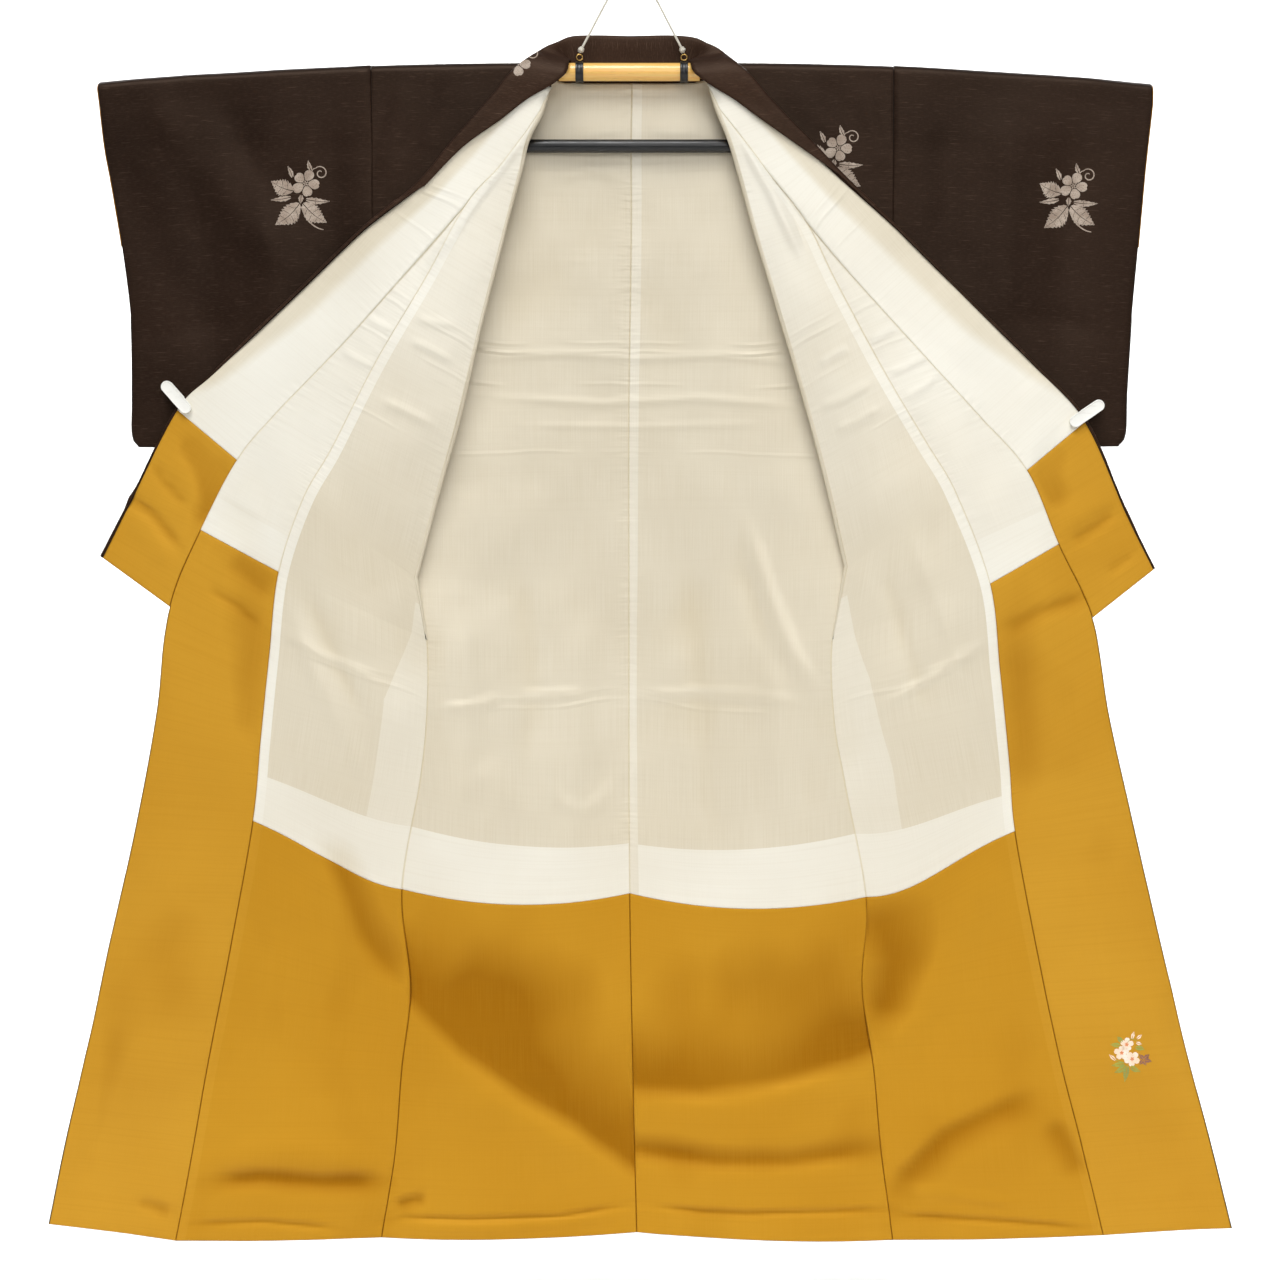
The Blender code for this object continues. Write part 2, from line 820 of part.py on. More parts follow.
def build_overlap(cloth, half, side):
    """Overlap panel, from its tip at the collar down to the hem."""
    tip = (side, "seam", TIP)
    cloth.index[(side, "edge", TIP)] = cloth.index[tip]
    rows = [[tip] * 3]
    for section in BODY_SECTIONS[TIP:]:
        end = place(read_table(half["edge"], section))
        edge_key = cloth.put((side, "edge", section), end)
        middle = mix(cloth.at((side, "seam", section)), end, 0.5)
        middle[1] -= read_straight(BODY_SHAPE, section)[2]
        middle_key = cloth.put((side, "overlap", section), middle)
        rows.append([(side, "seam", section), middle_key, edge_key])
    flip = half["sign"] < 0
    cloth.grid("outer_overlap_" + side, rows, flip)
    split = PANEL_LINING_END - TIP
    cloth.grid("lining_overlap_" + side, rows[: split + 1], flip)
    cloth.grid("hem_lining_overlap_" + side, rows[split:], flip)


def collar_sections(side):
    """Collar sections with the key of the seam point that each starts from."""
    neck_column = len(NECK_SHARES)
    found = [(0.0, ("centre", "neck", 0))]
    for k in range(1, neck_column):
        found.append((k / 10, (side, "neck", k)))
    for section, angle in ((0.4, -90), (0.47, -60), (0.53, -30), (0.6, 0)):
        found.append((section, (side, "back", neck_column, angle)))
    last_hidden = len(BACK_SHARES) + 1
    for section, angle in ((0.67, -30), (0.73, -60), (0.8, -90)):
        found.append((section, (side, "hidden", last_hidden, angle)))
    found.append((1, (side, "fold", 0, NECK_LEVEL)))
    found.append((FOLD_START, (side, "fold", 3, FOLD_START)))
    for section in range(2, TIP + 1):
        found.append((section, (side, "seam", section)))
    for section in range(TIP + 1, COLLAR_END + 1):
        found.append((section, (side, "edge", section)))
    return found


def build_collar(cloth, half, side):
    """Collar strip: its sewn half, the fold, and the half that is folded over at the neck."""
    sign = half["sign"]
    rows = []
    for section, seam in collar_sections(side):
        start = cloth.at(seam)
        fold = place(read_table(half["collar fold"], section))
        lean = math.radians(read_straight(COLLAR_LEAN, section)[0])
        over = np.array((-sign * 0.75 * math.sin(lean), -math.cos(lean), 0.66 * math.sin(lean)))
        roll = read_straight(COLLAR_ROLL, section)[0]
        radius, set_back = read_straight(COLLAR_FOLDING, section)
        sewn_end = fold - radius * over
        folded_start = fold + radius * over
        across = unit(sewn_end - start)
        inward = np.array((-sign * 1.0, 0.0, 0.0))
        rolled = ROLL_RADIUS * (inward + over)
        first = start + roll * rolled + (1 - roll) * across * 5
        second = start + roll * 2 * ROLL_RADIUS * over + (1 - roll) * across * 10
        last = sewn_end - unit(sewn_end - second) * set_back
        if section <= TIP:
            free = place(read_table(half["collar free"], section))
        else:
            free = folded_start - across * COLLAR_LIP
        columns = (
            first,
            second,
            mix(second, last, 0.5),
            last,
            sewn_end,
            fold + radius * across,
            folded_start,
            mix(folded_start, free, 0.5),
            free,
        )
        owner = "centre" if section == 0 else side
        row = [seam]
        for k, point in enumerate(columns, 1):
            row.append(cloth.put((owner, "collar", k, section), point))
        rows.append(row)
    flip = sign < 0
    cloth.grid("outer_collar", rows, flip)
    sections = [section for section, _ in collar_sections(side)]
    top = sections.index(FOLD_START)
    split = sections.index(COLLAR_LINING_END)
    lined = [row[:5] for row in rows]
    cloth.grid("lining_collar_" + side, lined[top : split + 1], flip)
    cloth.grid("hem_lining_collar_" + side, lined[split:], flip)


def sleeve_point(half, share, section, face_sign):
    """A point of the sleeve below the hanger, share of the way to its outer edge."""
    side_top = arm_drop(half, read_table(half["side"], SHOULDER)[0])
    if section <= ATTACHED:
        inner = read_table(half["side"], section)
        depth = read_straight(SIDE_OPENING, section)[0]
    else:
        inner = read_table(half["sleeve inner"], section)
        depth = inner[2]
    outer_x = read_table(half["sleeve outer"], section)[0]
    x = mix(inner[0], outer_x, share)
    bottom = half["sleeve inner"][-1][2]
    bottom_out = half["sleeve outer"][-1][2]
    level = (inner[1] - side_top) / (bottom - side_top)
    top = arm_drop(half, x)
    drop = mix(top, mix(bottom, bottom_out, share), level)
    mouth = read_straight(MOUTH_OPENING, section)[0]
    depth = mix(depth, mouth, share**4)
    return np.array((x, face_sign * depth, -drop))


def build_sleeve(cloth, half, side):
    """Sleeve, a loop over the hanger that runs out from the side line."""
    outer_top = read_table(half["sleeve outer"], SHOULDER)[0]
    side_top = read_table(half["side"], SHOULDER)[0]
    loop = [("bottom", 8, 1)]
    loop += [("back", section, 1) for section in (7, 6, 5, 4, 3, 2, 1)]
    loop += [("arc", angle, 1) for angle in (90, 60, 30, 0, -30, -60, -90)]
    loop += [("front", section, -1) for section in (1, 2, 3, 4, 5, 6, 7)]
    rows = []
    for kind, value, face_sign in loop:
        row = []
        for k, share in enumerate(SLEEVE_SHARES):
            shared = None
            if kind == "arc":
                x = mix(side_top, outer_top, share)
                point = wrap_point(half, x, value)
                shared = (side, "side back" if value >= 0 else "side front", -abs(value))
            else:
                point = sleeve_point(half, share, value, face_sign)
                if kind != "bottom" and value <= ATTACHED:
                    shared = (side, "side " + kind, value)
            if k == 0 and shared:
                row.append(shared)
            else:
                row.append(cloth.put((side, "sleeve " + kind, k, value), point))
        rows.append(row)
    flip = half["sign"] > 0
    cloth.grid("outer_sleeve_" + side, rows + rows[:1], flip)
    kinds = [(kind, value) for kind, value, _ in loop]
    start = kinds.index(("back", 4))
    stop = kinds.index(("front", 4))
    facing = [row[-2:] for row in rows[start : stop + 1]]
    cloth.grid("mouth_facing_" + side, facing, flip)


def build_garment():
    cloth = Cloth()
    for side, half in HALVES.items():
        side_points(cloth, half, side)
        build_back(cloth, half, side)
        build_front(cloth, half, side)
        build_overlap(cloth, half, side)
        build_collar(cloth, half, side)
        build_sleeve(cloth, half, side)
    outer = [panel for panel in cloth.panels if panel.startswith("outer")]
    others = [panel for panel in cloth.panels if not panel.startswith("outer")]
    normals = cloth.normals(outer)
    for panel in outer:
        add_outer(cloth, normals, panel, panel)
    for panel in others:
        if panel.startswith("mouth"):
            add_lining(cloth, normals, panel, panel, "mustard lining", mouth_set_back)
        elif panel.startswith("hem"):
            add_lining(cloth, normals, panel, panel, "mustard lining")
        else:
            add_lining(cloth, normals, panel, panel, "ivory lining")


def add_lathe(name, start, end, radii, material_name, segments=24):
    """A turned piece between two points. Radii hold (share of the length, radius)."""
    axis = unit(end - start)
    helper = np.array((0.0, 0.0, 1.0)) if abs(axis[2]) < 0.9 else np.array((1.0, 0.0, 0.0))
    across = unit(np.cross(helper, axis))
    up = np.cross(axis, across)
    vertices = []
    for share, radius in radii:
        centre = mix(start, end, share)
        for k in range(segments):
            angle = 2 * math.pi * k / segments
            vertices.append((centre + radius * (across * math.cos(angle) + up * math.sin(angle))) * MM)
    faces = [list(range(segments))[::-1]]
    for ring in range(len(radii) - 1):
        for k in range(segments):
            a = ring * segments + k
            b = ring * segments + (k + 1) % segments
            faces.append([a, b, b + segments, a + segments])
    last = (len(radii) - 1) * segments
    faces.append([last + k for k in range(segments)])
    return add_object(name, vertices, faces, material_name, smooth=True)


def add_tube_ring(name, centre_x, width, inner, outer, material_name, segments=24):
    """A band around the pole."""
    vertices = []
    for x in (centre_x - width / 2, centre_x + width / 2):
        for radius in (inner, outer):
            for k in range(segments):
                angle = 2 * math.pi * k / segments
                point = (x, radius * math.sin(angle), -POLE_DROP + radius * math.cos(angle))
                vertices.append(np.array(point) * MM)
    faces = []
    for k in range(segments):
        n = (k + 1) % segments
        inner_a, outer_a = k, segments + k
        inner_b, outer_b = 2 * segments + k, 3 * segments + k
        inner_an, outer_an = n, segments + n
        inner_bn, outer_bn = 2 * segments + n, 3 * segments + n
        faces.append([outer_a, outer_b, outer_bn, outer_an])
        faces.append([inner_a, inner_an, inner_bn, inner_b])
        faces.append([inner_a, outer_a, outer_an, inner_an])
        faces.append([inner_b, inner_bn, outer_bn, outer_b])
    return add_object(name, vertices, faces, material_name, smooth=True)


def add_cord(name, points, radius, material_name):
    curve = bpy.data.curves.new(name, "CURVE")
    curve.dimensions = "3D"
    curve.bevel_depth = radius * MM
    curve.bevel_resolution = 2
    curve.use_fill_caps = True
    spline = curve.splines.new("POLY")
    spline.points.add(len(points) - 1)
    for slot, point in zip(spline.points, points):
        slot.co = (*(np.array(point) * MM), 1.0)
    curve.materials.append(material(material_name))
    obj = bpy.data.objects.new(name, curve)
    bpy.context.collection.objects.link(obj)
    return obj


def arm_points(half, start_x, end_x, count=12):
    return [
        np.array((x, 0.0, -arm_drop(half, x)))
        for x in np.linspace(start_x, end_x, count)
    ]


def build_arm(side, half, pole_end):
    """A thinner arm that runs on from the pole into the sleeve, bowed under the cloth."""
    sign = half["sign"]
    tip_x = half["sleeve outer"][0][1] - sign * ARM_END_GAP
    points = arm_points(half, pole_end + sign * TOUCH_GAP, tip_x)
    segments = 16
    vertices = []
    for centre in points:
        for k in range(segments):
            angle = 2 * math.pi * k / segments
            across = np.array((0.0, math.sin(angle), math.cos(angle)))
            vertices.append((centre + ARM_RADIUS * across) * MM)
    faces = []
    for ring in range(len(points) - 1):
        for k in range(segments):
            a = ring * segments + k
            b = ring * segments + (k + 1) % segments
            faces.append([a, b, b + segments, a + segments])
    last = (len(points) - 1) * segments
    faces.append(list(range(segments))[::-1])
    faces.append([last + k for k in range(segments)])
    if sign > 0:
        faces = [face[::-1] for face in faces]
    add_object("hanger_arm_" + side, vertices, faces, "pale wood", smooth=True)


def build_eye(side, x):
    """A brass eye that stands on the band."""
    foot = -POLE_DROP + BAND_RADIUS + TOUCH_GAP
    centre = foot + EYE_RADIUS + EYE_WIRE
    bpy.ops.mesh.primitive_torus_add(
        major_radius=EYE_RADIUS * MM,
        minor_radius=EYE_WIRE * MM,
        major_segments=20,
        minor_segments=8,
        location=(x * MM, 0, centre * MM),
        rotation=(math.pi / 2, 0, 0),
    )
    eye = bpy.context.object
    eye.name = "brass_eye_" + side
    eye.data.materials.append(material("brass"))
    eye.data.shade_smooth()
    return centre + EYE_RADIUS + EYE_WIRE


def build_cord_half(side, sign, x, eye_top):
    """The knot on one eye, and the cord's way from it to the top of the bight."""
    centre = np.array((0.0, 0.0, CORD_RADIUS - BIGHT_RADIUS))
    foot = np.array((x, 0.0, eye_top + KNOT_LIFT))
    reach = foot - centre
    slope = math.atan2(reach[2], sign * reach[0])
    touch = slope + math.acos(BIGHT_RADIUS / np.linalg.norm(reach))
    leave = centre + BIGHT_RADIUS * np.array((sign * math.cos(touch), 0, math.sin(touch)))
    along = unit(leave - foot)
    knot_top = foot + along * 2 * KNOT_RADIUS
    profile = [(0.0, 1.6), (0.12, 3.0), (0.35, 4.0), (0.6, 4.2), (0.85, 3.2), (1.0, 1.9)]
    add_lathe("knot_" + side, foot, knot_top, profile, "cord", segments=16)
    route = [mix(knot_top + along * TOUCH_GAP, leave, share) for share in np.linspace(0, 1, 13)]
    for share in (0.25, 0.5, 0.75):
        angle = mix(touch, math.pi / 2, share)
        route.append(centre + BIGHT_RADIUS * np.array((sign * math.cos(angle), 0, math.sin(angle))))
    return route


def build_hanger():
    add_lathe(
        "hanger_pole",
        np.array((POLE_ENDS[0], 0.0, -POLE_DROP)),
        np.array((POLE_ENDS[1], 0.0, -POLE_DROP)),
        [(0, POLE_RADIUS), (0.5, POLE_RADIUS), (1, POLE_RADIUS)],
        "pale wood",
    )
    routes = []
    for (side, half), pole_end, band_x in zip(HALVES.items(), POLE_ENDS, BAND_X):
        build_arm(side, half, pole_end)
        add_tube_ring(
            "band_" + side, band_x, BAND_WIDTH, POLE_RADIUS + TOUCH_GAP, BAND_RADIUS, "black plastic"
        )
        eye_top = build_eye(side, band_x)
        routes.append(build_cord_half(side, half["sign"], band_x, eye_top))
    bight_top = np.array((0.0, 0.0, CORD_RADIUS))
    route = routes[0] + [bight_top] + routes[1][::-1]
    add_cord("hanging_cord", route, CORD_RADIUS, "cord")
    add_lathe(
        "cross_bar",
        np.array((BAR_ENDS[0], 0.0, -BAR_DROP)),
        np.array((BAR_ENDS[1], 0.0, -BAR_DROP)),
        [(0, BAR_RADIUS), (0.5, BAR_RADIUS), (1, BAR_RADIUS)],
        "black plastic",
    )
    for (side, half), bar_end in zip(HALVES.items(), BAR_ENDS):
        x = bar_end - half["sign"] * LINK_INSET
        top = -arm_drop(half, x) - ARM_RADIUS - TOUCH_GAP
        bottom = -BAR_DROP + BAR_RADIUS + TOUCH_GAP
        add_lathe(
            "side_link_" + side,
            np.array((x, 0.0, bottom)),
            np.array((x, 0.0, top)),
            [(0, LINK_RADIUS), (1, LINK_RADIUS)],
            "black plastic",
            segments=16,
        )


def add_jaw(name, centre, along, depth_near, depth_far, boss):
    """One jaw of a clip, a bar with round ends, with a boss towards the other jaw."""
    across = np.array((-along[2], 0.0, along[0]))
    half_width = CLIP_WIDTH / 2
    straight = CLIP_LENGTH / 2 - half_width
    outline = []
    for sign in (1, -1):
        for degrees in range(-90, 91, 30):
            angle = math.radians(degrees)
            outline.append((
                sign * (straight + half_width * math.cos(angle)),
                sign * half_width * math.sin(angle),
            ))
    mesh = bmesh.new()
    base = []
    for u, v in outline:
        point = centre + along * u + across * v
        base.append(mesh.verts.new((point[0] * MM, depth_near * MM, point[2] * MM)))
    lifted = bmesh.ops.extrude_face_region(mesh, geom=[mesh.faces.new(base)])
    shift = (depth_far - depth_near) * MM
    moved = [item for item in lifted["geom"] if isinstance(item, bmesh.types.BMVert)]
    bmesh.ops.translate(mesh, verts=moved, vec=(0.0, shift, 0.0))
    bmesh.ops.recalc_face_normals(mesh, faces=mesh.faces)
    data = bpy.data.meshes.new(name)
    mesh.to_mesh(data)
    mesh.free()
    data.materials.append(material("white plastic"))
    obj = bpy.data.objects.new(name, data)
    bpy.context.collection.objects.link(obj)
    if boss:
        cutter = add_lathe(name + "_boss", boss[0], boss[1], [(0, 3.0), (1, 3.0)], "white plastic", 16)
        cutter.hide_render = True
        cutter.display_type = "WIRE"
        union = obj.modifiers.new("boss", "BOOLEAN")
        union.operation = "UNION"
        union.object = cutter
    return obj


def build_clips():
    """A clip on each collar edge: one jaw in front of the collar and one behind it."""
    for side, half in HALVES.items():
        tail = np.array((half["clip"]["tail"][0], 0.0, -half["clip"]["tail"][1]))
        nose = np.array((half["clip"]["nose"][0], 0.0, -half["clip"]["nose"][1]))
        centre = mix(tail, nose, 0.5)
        along = unit(nose - tail)
        collar_depth = read_table(half["collar fold"], COLLAR_LINING_END)[2]
        front_face = collar_depth - COLLAR_LIP_RADIUS - OUTER_WALL - PLY_GAP - 2.2
        back_face = collar_depth + COLLAR_LIP_RADIUS + OUTER_WALL + PLY_GAP + 0.6
        pivot = centre - along * 15.0
        boss = (
            np.array((pivot[0], back_face + 1.0, pivot[2])),
            np.array((pivot[0], front_face + TOUCH_GAP, pivot[2])),
        )
        add_jaw("clip_front_" + side, centre, along, front_face - CLIP_JAW, front_face, None)
        add_jaw("clip_back_" + side, centre, along, back_face, back_face + CLIP_JAW, boss)


clear_scene()
build_garment()
build_hanger()
build_clips()
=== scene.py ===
import math
import random

import bpy
import numpy as np
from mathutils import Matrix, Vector
from mathutils.bvhtree import BVHTree

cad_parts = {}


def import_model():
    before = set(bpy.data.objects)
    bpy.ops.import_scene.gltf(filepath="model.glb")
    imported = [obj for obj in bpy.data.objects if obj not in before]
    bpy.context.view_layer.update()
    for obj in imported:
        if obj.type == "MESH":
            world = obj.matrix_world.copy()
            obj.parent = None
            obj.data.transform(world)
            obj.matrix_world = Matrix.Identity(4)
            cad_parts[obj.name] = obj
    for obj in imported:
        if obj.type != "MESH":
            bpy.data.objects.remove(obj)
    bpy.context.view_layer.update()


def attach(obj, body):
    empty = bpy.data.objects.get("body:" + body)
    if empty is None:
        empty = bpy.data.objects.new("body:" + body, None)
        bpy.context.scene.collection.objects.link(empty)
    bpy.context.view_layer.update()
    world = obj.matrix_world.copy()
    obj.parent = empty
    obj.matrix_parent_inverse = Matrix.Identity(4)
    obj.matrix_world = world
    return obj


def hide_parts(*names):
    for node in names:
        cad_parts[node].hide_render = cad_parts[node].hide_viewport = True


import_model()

mm = 0.001
print("stage: frame loaded")

cameraPlan = {"place": (0.01016, -4.0, -0.861), "sensor": 36.0, "sceneWidth": 1.6256, "clipEnd": 60.0}


# camera at the photograph's angle. sceneWidth is metres across the picture at the garment
def makeCamera():
    data = bpy.data.cameras.new("camera")
    data.sensor_width = cameraPlan["sensor"]
    data.lens = cameraPlan["sensor"] * -cameraPlan["place"][1] / cameraPlan["sceneWidth"]
    data.clip_end = cameraPlan["clipEnd"]
    camera = bpy.data.objects.new("camera", data)
    camera.location = cameraPlan["place"]
    camera.rotation_euler = (math.pi / 2, 0.0, 0.0)
    bpy.context.collection.objects.link(camera)
    bpy.context.scene.camera = camera


makeCamera()


def unit(vector):
    return vector / np.linalg.norm(vector)


def mix(a, b, share):
    return a + (b - a) * share


def eased(share):  # slow at both ends
    return share * share * (3 - 2 * share)


def linear(red, green, blue):  # 0-255 tones to the shader's linear colour
    found = []
    for tone in (red, green, blue):
        share = tone / 255.0
        found.append(share / 12.92 if share <= 0.04045 else ((share + 0.055) / 1.055) ** 2.4)
    return (*found, 1.0)


def meshObject(name, vertices, faces, smooth=True):
    mesh = bpy.data.meshes.new(name)
    mesh.from_pydata([tuple(v) for v in vertices], [], [list(f) for f in faces])
    if smooth:
        mesh.shade_smooth()
    made = bpy.data.objects.new(name, mesh)
    bpy.context.collection.objects.link(made)
    return made


def addWeave(piece, spots):  # the weave's own coordinates, from one spot for each point
    layer = piece.data.uv_layers.new(name="weave")
    for corner, loop in enumerate(piece.data.loops):
        layer.data[corner].uv = spots[loop.vertex_index]


cordPlan = {
    "radius": 0.0015, "bight": 0.009, "knotFoot": -0.1153, "knotLength": 0.0084, "gap": 0.0003,
    "strands": 3, "lay": 0.009, "groove": 0.14,  # lay: one strand's turn along the cord, in metres
}
bandX = {"left": -0.0667, "right": 0.066}


# Twisted cords along any paths, joined in one mesh. Their strands turn the other way with twist -1
def twistedMesh(name, paths, radii, around, twist=1):
    vertices, faces, spots = [], [], []
    for path, radius in zip(paths, radii):
        first, travelled = len(vertices), 0.0
        helper = np.array((0.0, 1.0, 0.0))
        for k, point in enumerate(path):
            if k:
                travelled += float(np.linalg.norm(point - path[k - 1]))
            ahead = unit(path[min(k + 1, len(path) - 1)] - path[max(k - 1, 0)])
            helper = unit(helper - ahead * float(helper @ ahead))
            other = np.cross(ahead, helper) * twist
            for n in range(around):
                angle = 2 * math.pi * n / around
                turned = angle - 2 * math.pi * travelled / cordPlan["lay"]
                lobe = abs(math.cos(cordPlan["strands"] / 2 * turned))
                reach = radius * (1 - cordPlan["groove"] + cordPlan["groove"] * math.sqrt(lobe))
                vertices.append(point + reach * (helper * math.cos(angle) + other * math.sin(angle)))
                spots.append((n / around, travelled))
        for ring in range(len(path) - 1):
            for n in range(around):
                a, b = first + ring * around + n, first + ring * around + (n + 1) % around
                quad = (a, b, b + around, a + around)
                faces.append(quad if twist > 0 else (a, *quad[:0:-1]))
        caps = [range(first + around - 1, first - 1, -1), range(len(vertices) - around, len(vertices))]
        faces += [tuple(cap[::twist]) for cap in caps]
    made = meshObject(name, vertices, faces)
    addWeave(made, spots)
    return made


# One side of the hanging cord. Its route repeats the part's: from a knot to the bight under the hook
def cordSide(sign, x):
    bight = cordPlan["bight"]
    centre = np.array((0.0, 0.0, cordPlan["radius"] - bight))
    foot = np.array((x, 0.0, cordPlan["knotFoot"]))
    reach = foot - centre
    touch = math.atan2(reach[2], sign * reach[0]) + math.acos(bight / np.linalg.norm(reach))
    bend = [centre + bight * np.array((sign * math.cos(angle), 0, math.sin(angle)))
            for angle in np.linspace(touch, math.pi / 2, 22)]
    along = unit(bend[0] - foot)
    start = foot + along * cordPlan["knotLength"] + along * cordPlan["gap"]
    return foot, along, [mix(start, bend[0], share) for share in np.linspace(0, 1, 150)] + bend[1:]


leftFoot, leftAlong, leftRoute = cordSide(-1, bandX["left"])
rightFoot, rightAlong, rightRoute = cordSide(1, bandX["right"])
cordPath = leftRoute + rightRoute[-2::-1]
hangingCord = twistedMesh("rope_hanging_cord", [cordPath], [cordPlan["radius"]], 18, -1)


# The garment's lines, repeated from the part, in mm: section, x, drop, depth.
# Sections run from the shoulder fold, 0, to the hem, 16
centreBack = (
    (1, 0, 157, 18.5), (2, -1, 217, 14), (4, -1, 351, 16), (6, -4, 564, 26), (8, -4, 782, 36),
    (9, -4, 861, 38), (10, -4, 957, 38), (12, -3, 1185, 32), (14, 1, 1410, 20), (16, 6, 1615, 12),
)
leftHalf = {
    "sign": -1,
    "neck": 105.4,
    "sag": 24.0,
    "side": (
        (0, -330, 132, 0), (1, -330, 160, 0), (2, -329, 220, 0), (3, -329, 264, 0), (4, -328, 353, 0),
        (5, -325, 449, 1), (6, -317, 567, -2), (7, -297, 686, -4), (8, -279, 782, -5),
        (9, -260, 861, -8), (10, -260, 956, -12), (11, -268, 1038, -14), (12, -291, 1176, -14),
        (13, -281, 1305, -8), (14, -292, 1407, -4), (15, -301, 1515, -2), (16, -318, 1620, 0),
    ),
    "fold": (
        (1, -105, 162, -13.6), (1.5, -113, 193, -14), (2, -128, 222, -14.5), (3, -139, 266, -15),
        (4, -157, 335, -15.5), (5, -187, 451, -15), (6, -215, 567, -13), (7, -247, 686, -11),
        (8, -272, 782, -8),
    ),
    "seam": (
        (2, -136, 223, -21), (3, -168, 265, -22), (4, -209, 311, -24), (5, -262, 407, -27),
        (6, -324, 513, -30), (7, -378, 619, -32), (8, -414, 683, -33), (9, -445, 775, -32),
        (10, -457, 880, -30), (11, -468, 987, -28), (12, -478, 1089, -26), (13, -507, 1247, -18),
        (14, -537, 1399, -14), (15, -557, 1513, -12), (16, -578, 1622, -10),
    ),
    "edge": (
        (4, -209, 311, -24), (5, -281, 394, -27.5), (6, -366, 490, -29), (7, -450, 577, -28),
        (8, -498, 634, -26), (9, -544, 722, -26), (10, -583, 819, -26), (11, -600, 953, -24),
        (12, -624, 1082, -20), (13, -660, 1240, -16), (14, -690, 1380, -14), (15, -717, 1494, -12),
        (16, -739, 1601, -10),
    ),
    "collarFold": (
        (0, 0, 94, 17.3), (0.1, -45, 93, 17.3), (0.2, -75, 94, 16.5), (0.3, -87, 98, 14),
        (0.4, -96, 103, 10), (0.5, -106, 108, 5), (0.6, -116, 115, 0), (0.7, -125, 122, -10),
        (0.8, -134, 129, -16), (1, -149, 143, -20), (1.5, -170, 169, -22.5), (2, -194, 197, -24.5),
        (3, -227, 235, -26), (4, -270, 286, -26.5), (5, -340, 343, -22), (6, -432, 431, -19),
        (7, -528, 522, -18), (8, -576, 569, -18), (9, -633, 682, -20), (10, -670, 756, -22),
    ),
    "collarFree": (
        (0, 0, 146, 16.2), (0.1, -43, 146, 16.2), (0.2, -65, 145, 16), (0.3, -73, 141, 15.4),
        (0.4, -76, 133, 13.4), (0.5, -78, 125, 6), (0.6, -79, 125, 0), (0.7, -80, 130, -15),
        (0.8, -81, 141, -24), (1, -91, 153, -27), (1.5, -132, 178, -25), (2, -161, 201, -27),
        (3, -213, 239, -28.5), (4, -262, 289, -29),
    ),
    "sleeveInner": (
        (4, -328, 353, 10.5), (5, -329, 449, 9), (6, -324, 546, 7.5), (7, -320, 602, 5),
        (8, -318, 618, 0),
    ),
    "sleeveOuter": (
        (0, -676, 152, 0), (1, -674, 160, 0), (2, -668, 220, 0), (3, -661, 264, 0), (4, -647, 353, 0),
        (5, -636, 450, 0), (6, -634, 546, 0), (7, -634, 600, 0), (8, -626, 615, 0),
    ),
    "clip": {"tail": (-590, 538), "nose": (-561, 571)},
}
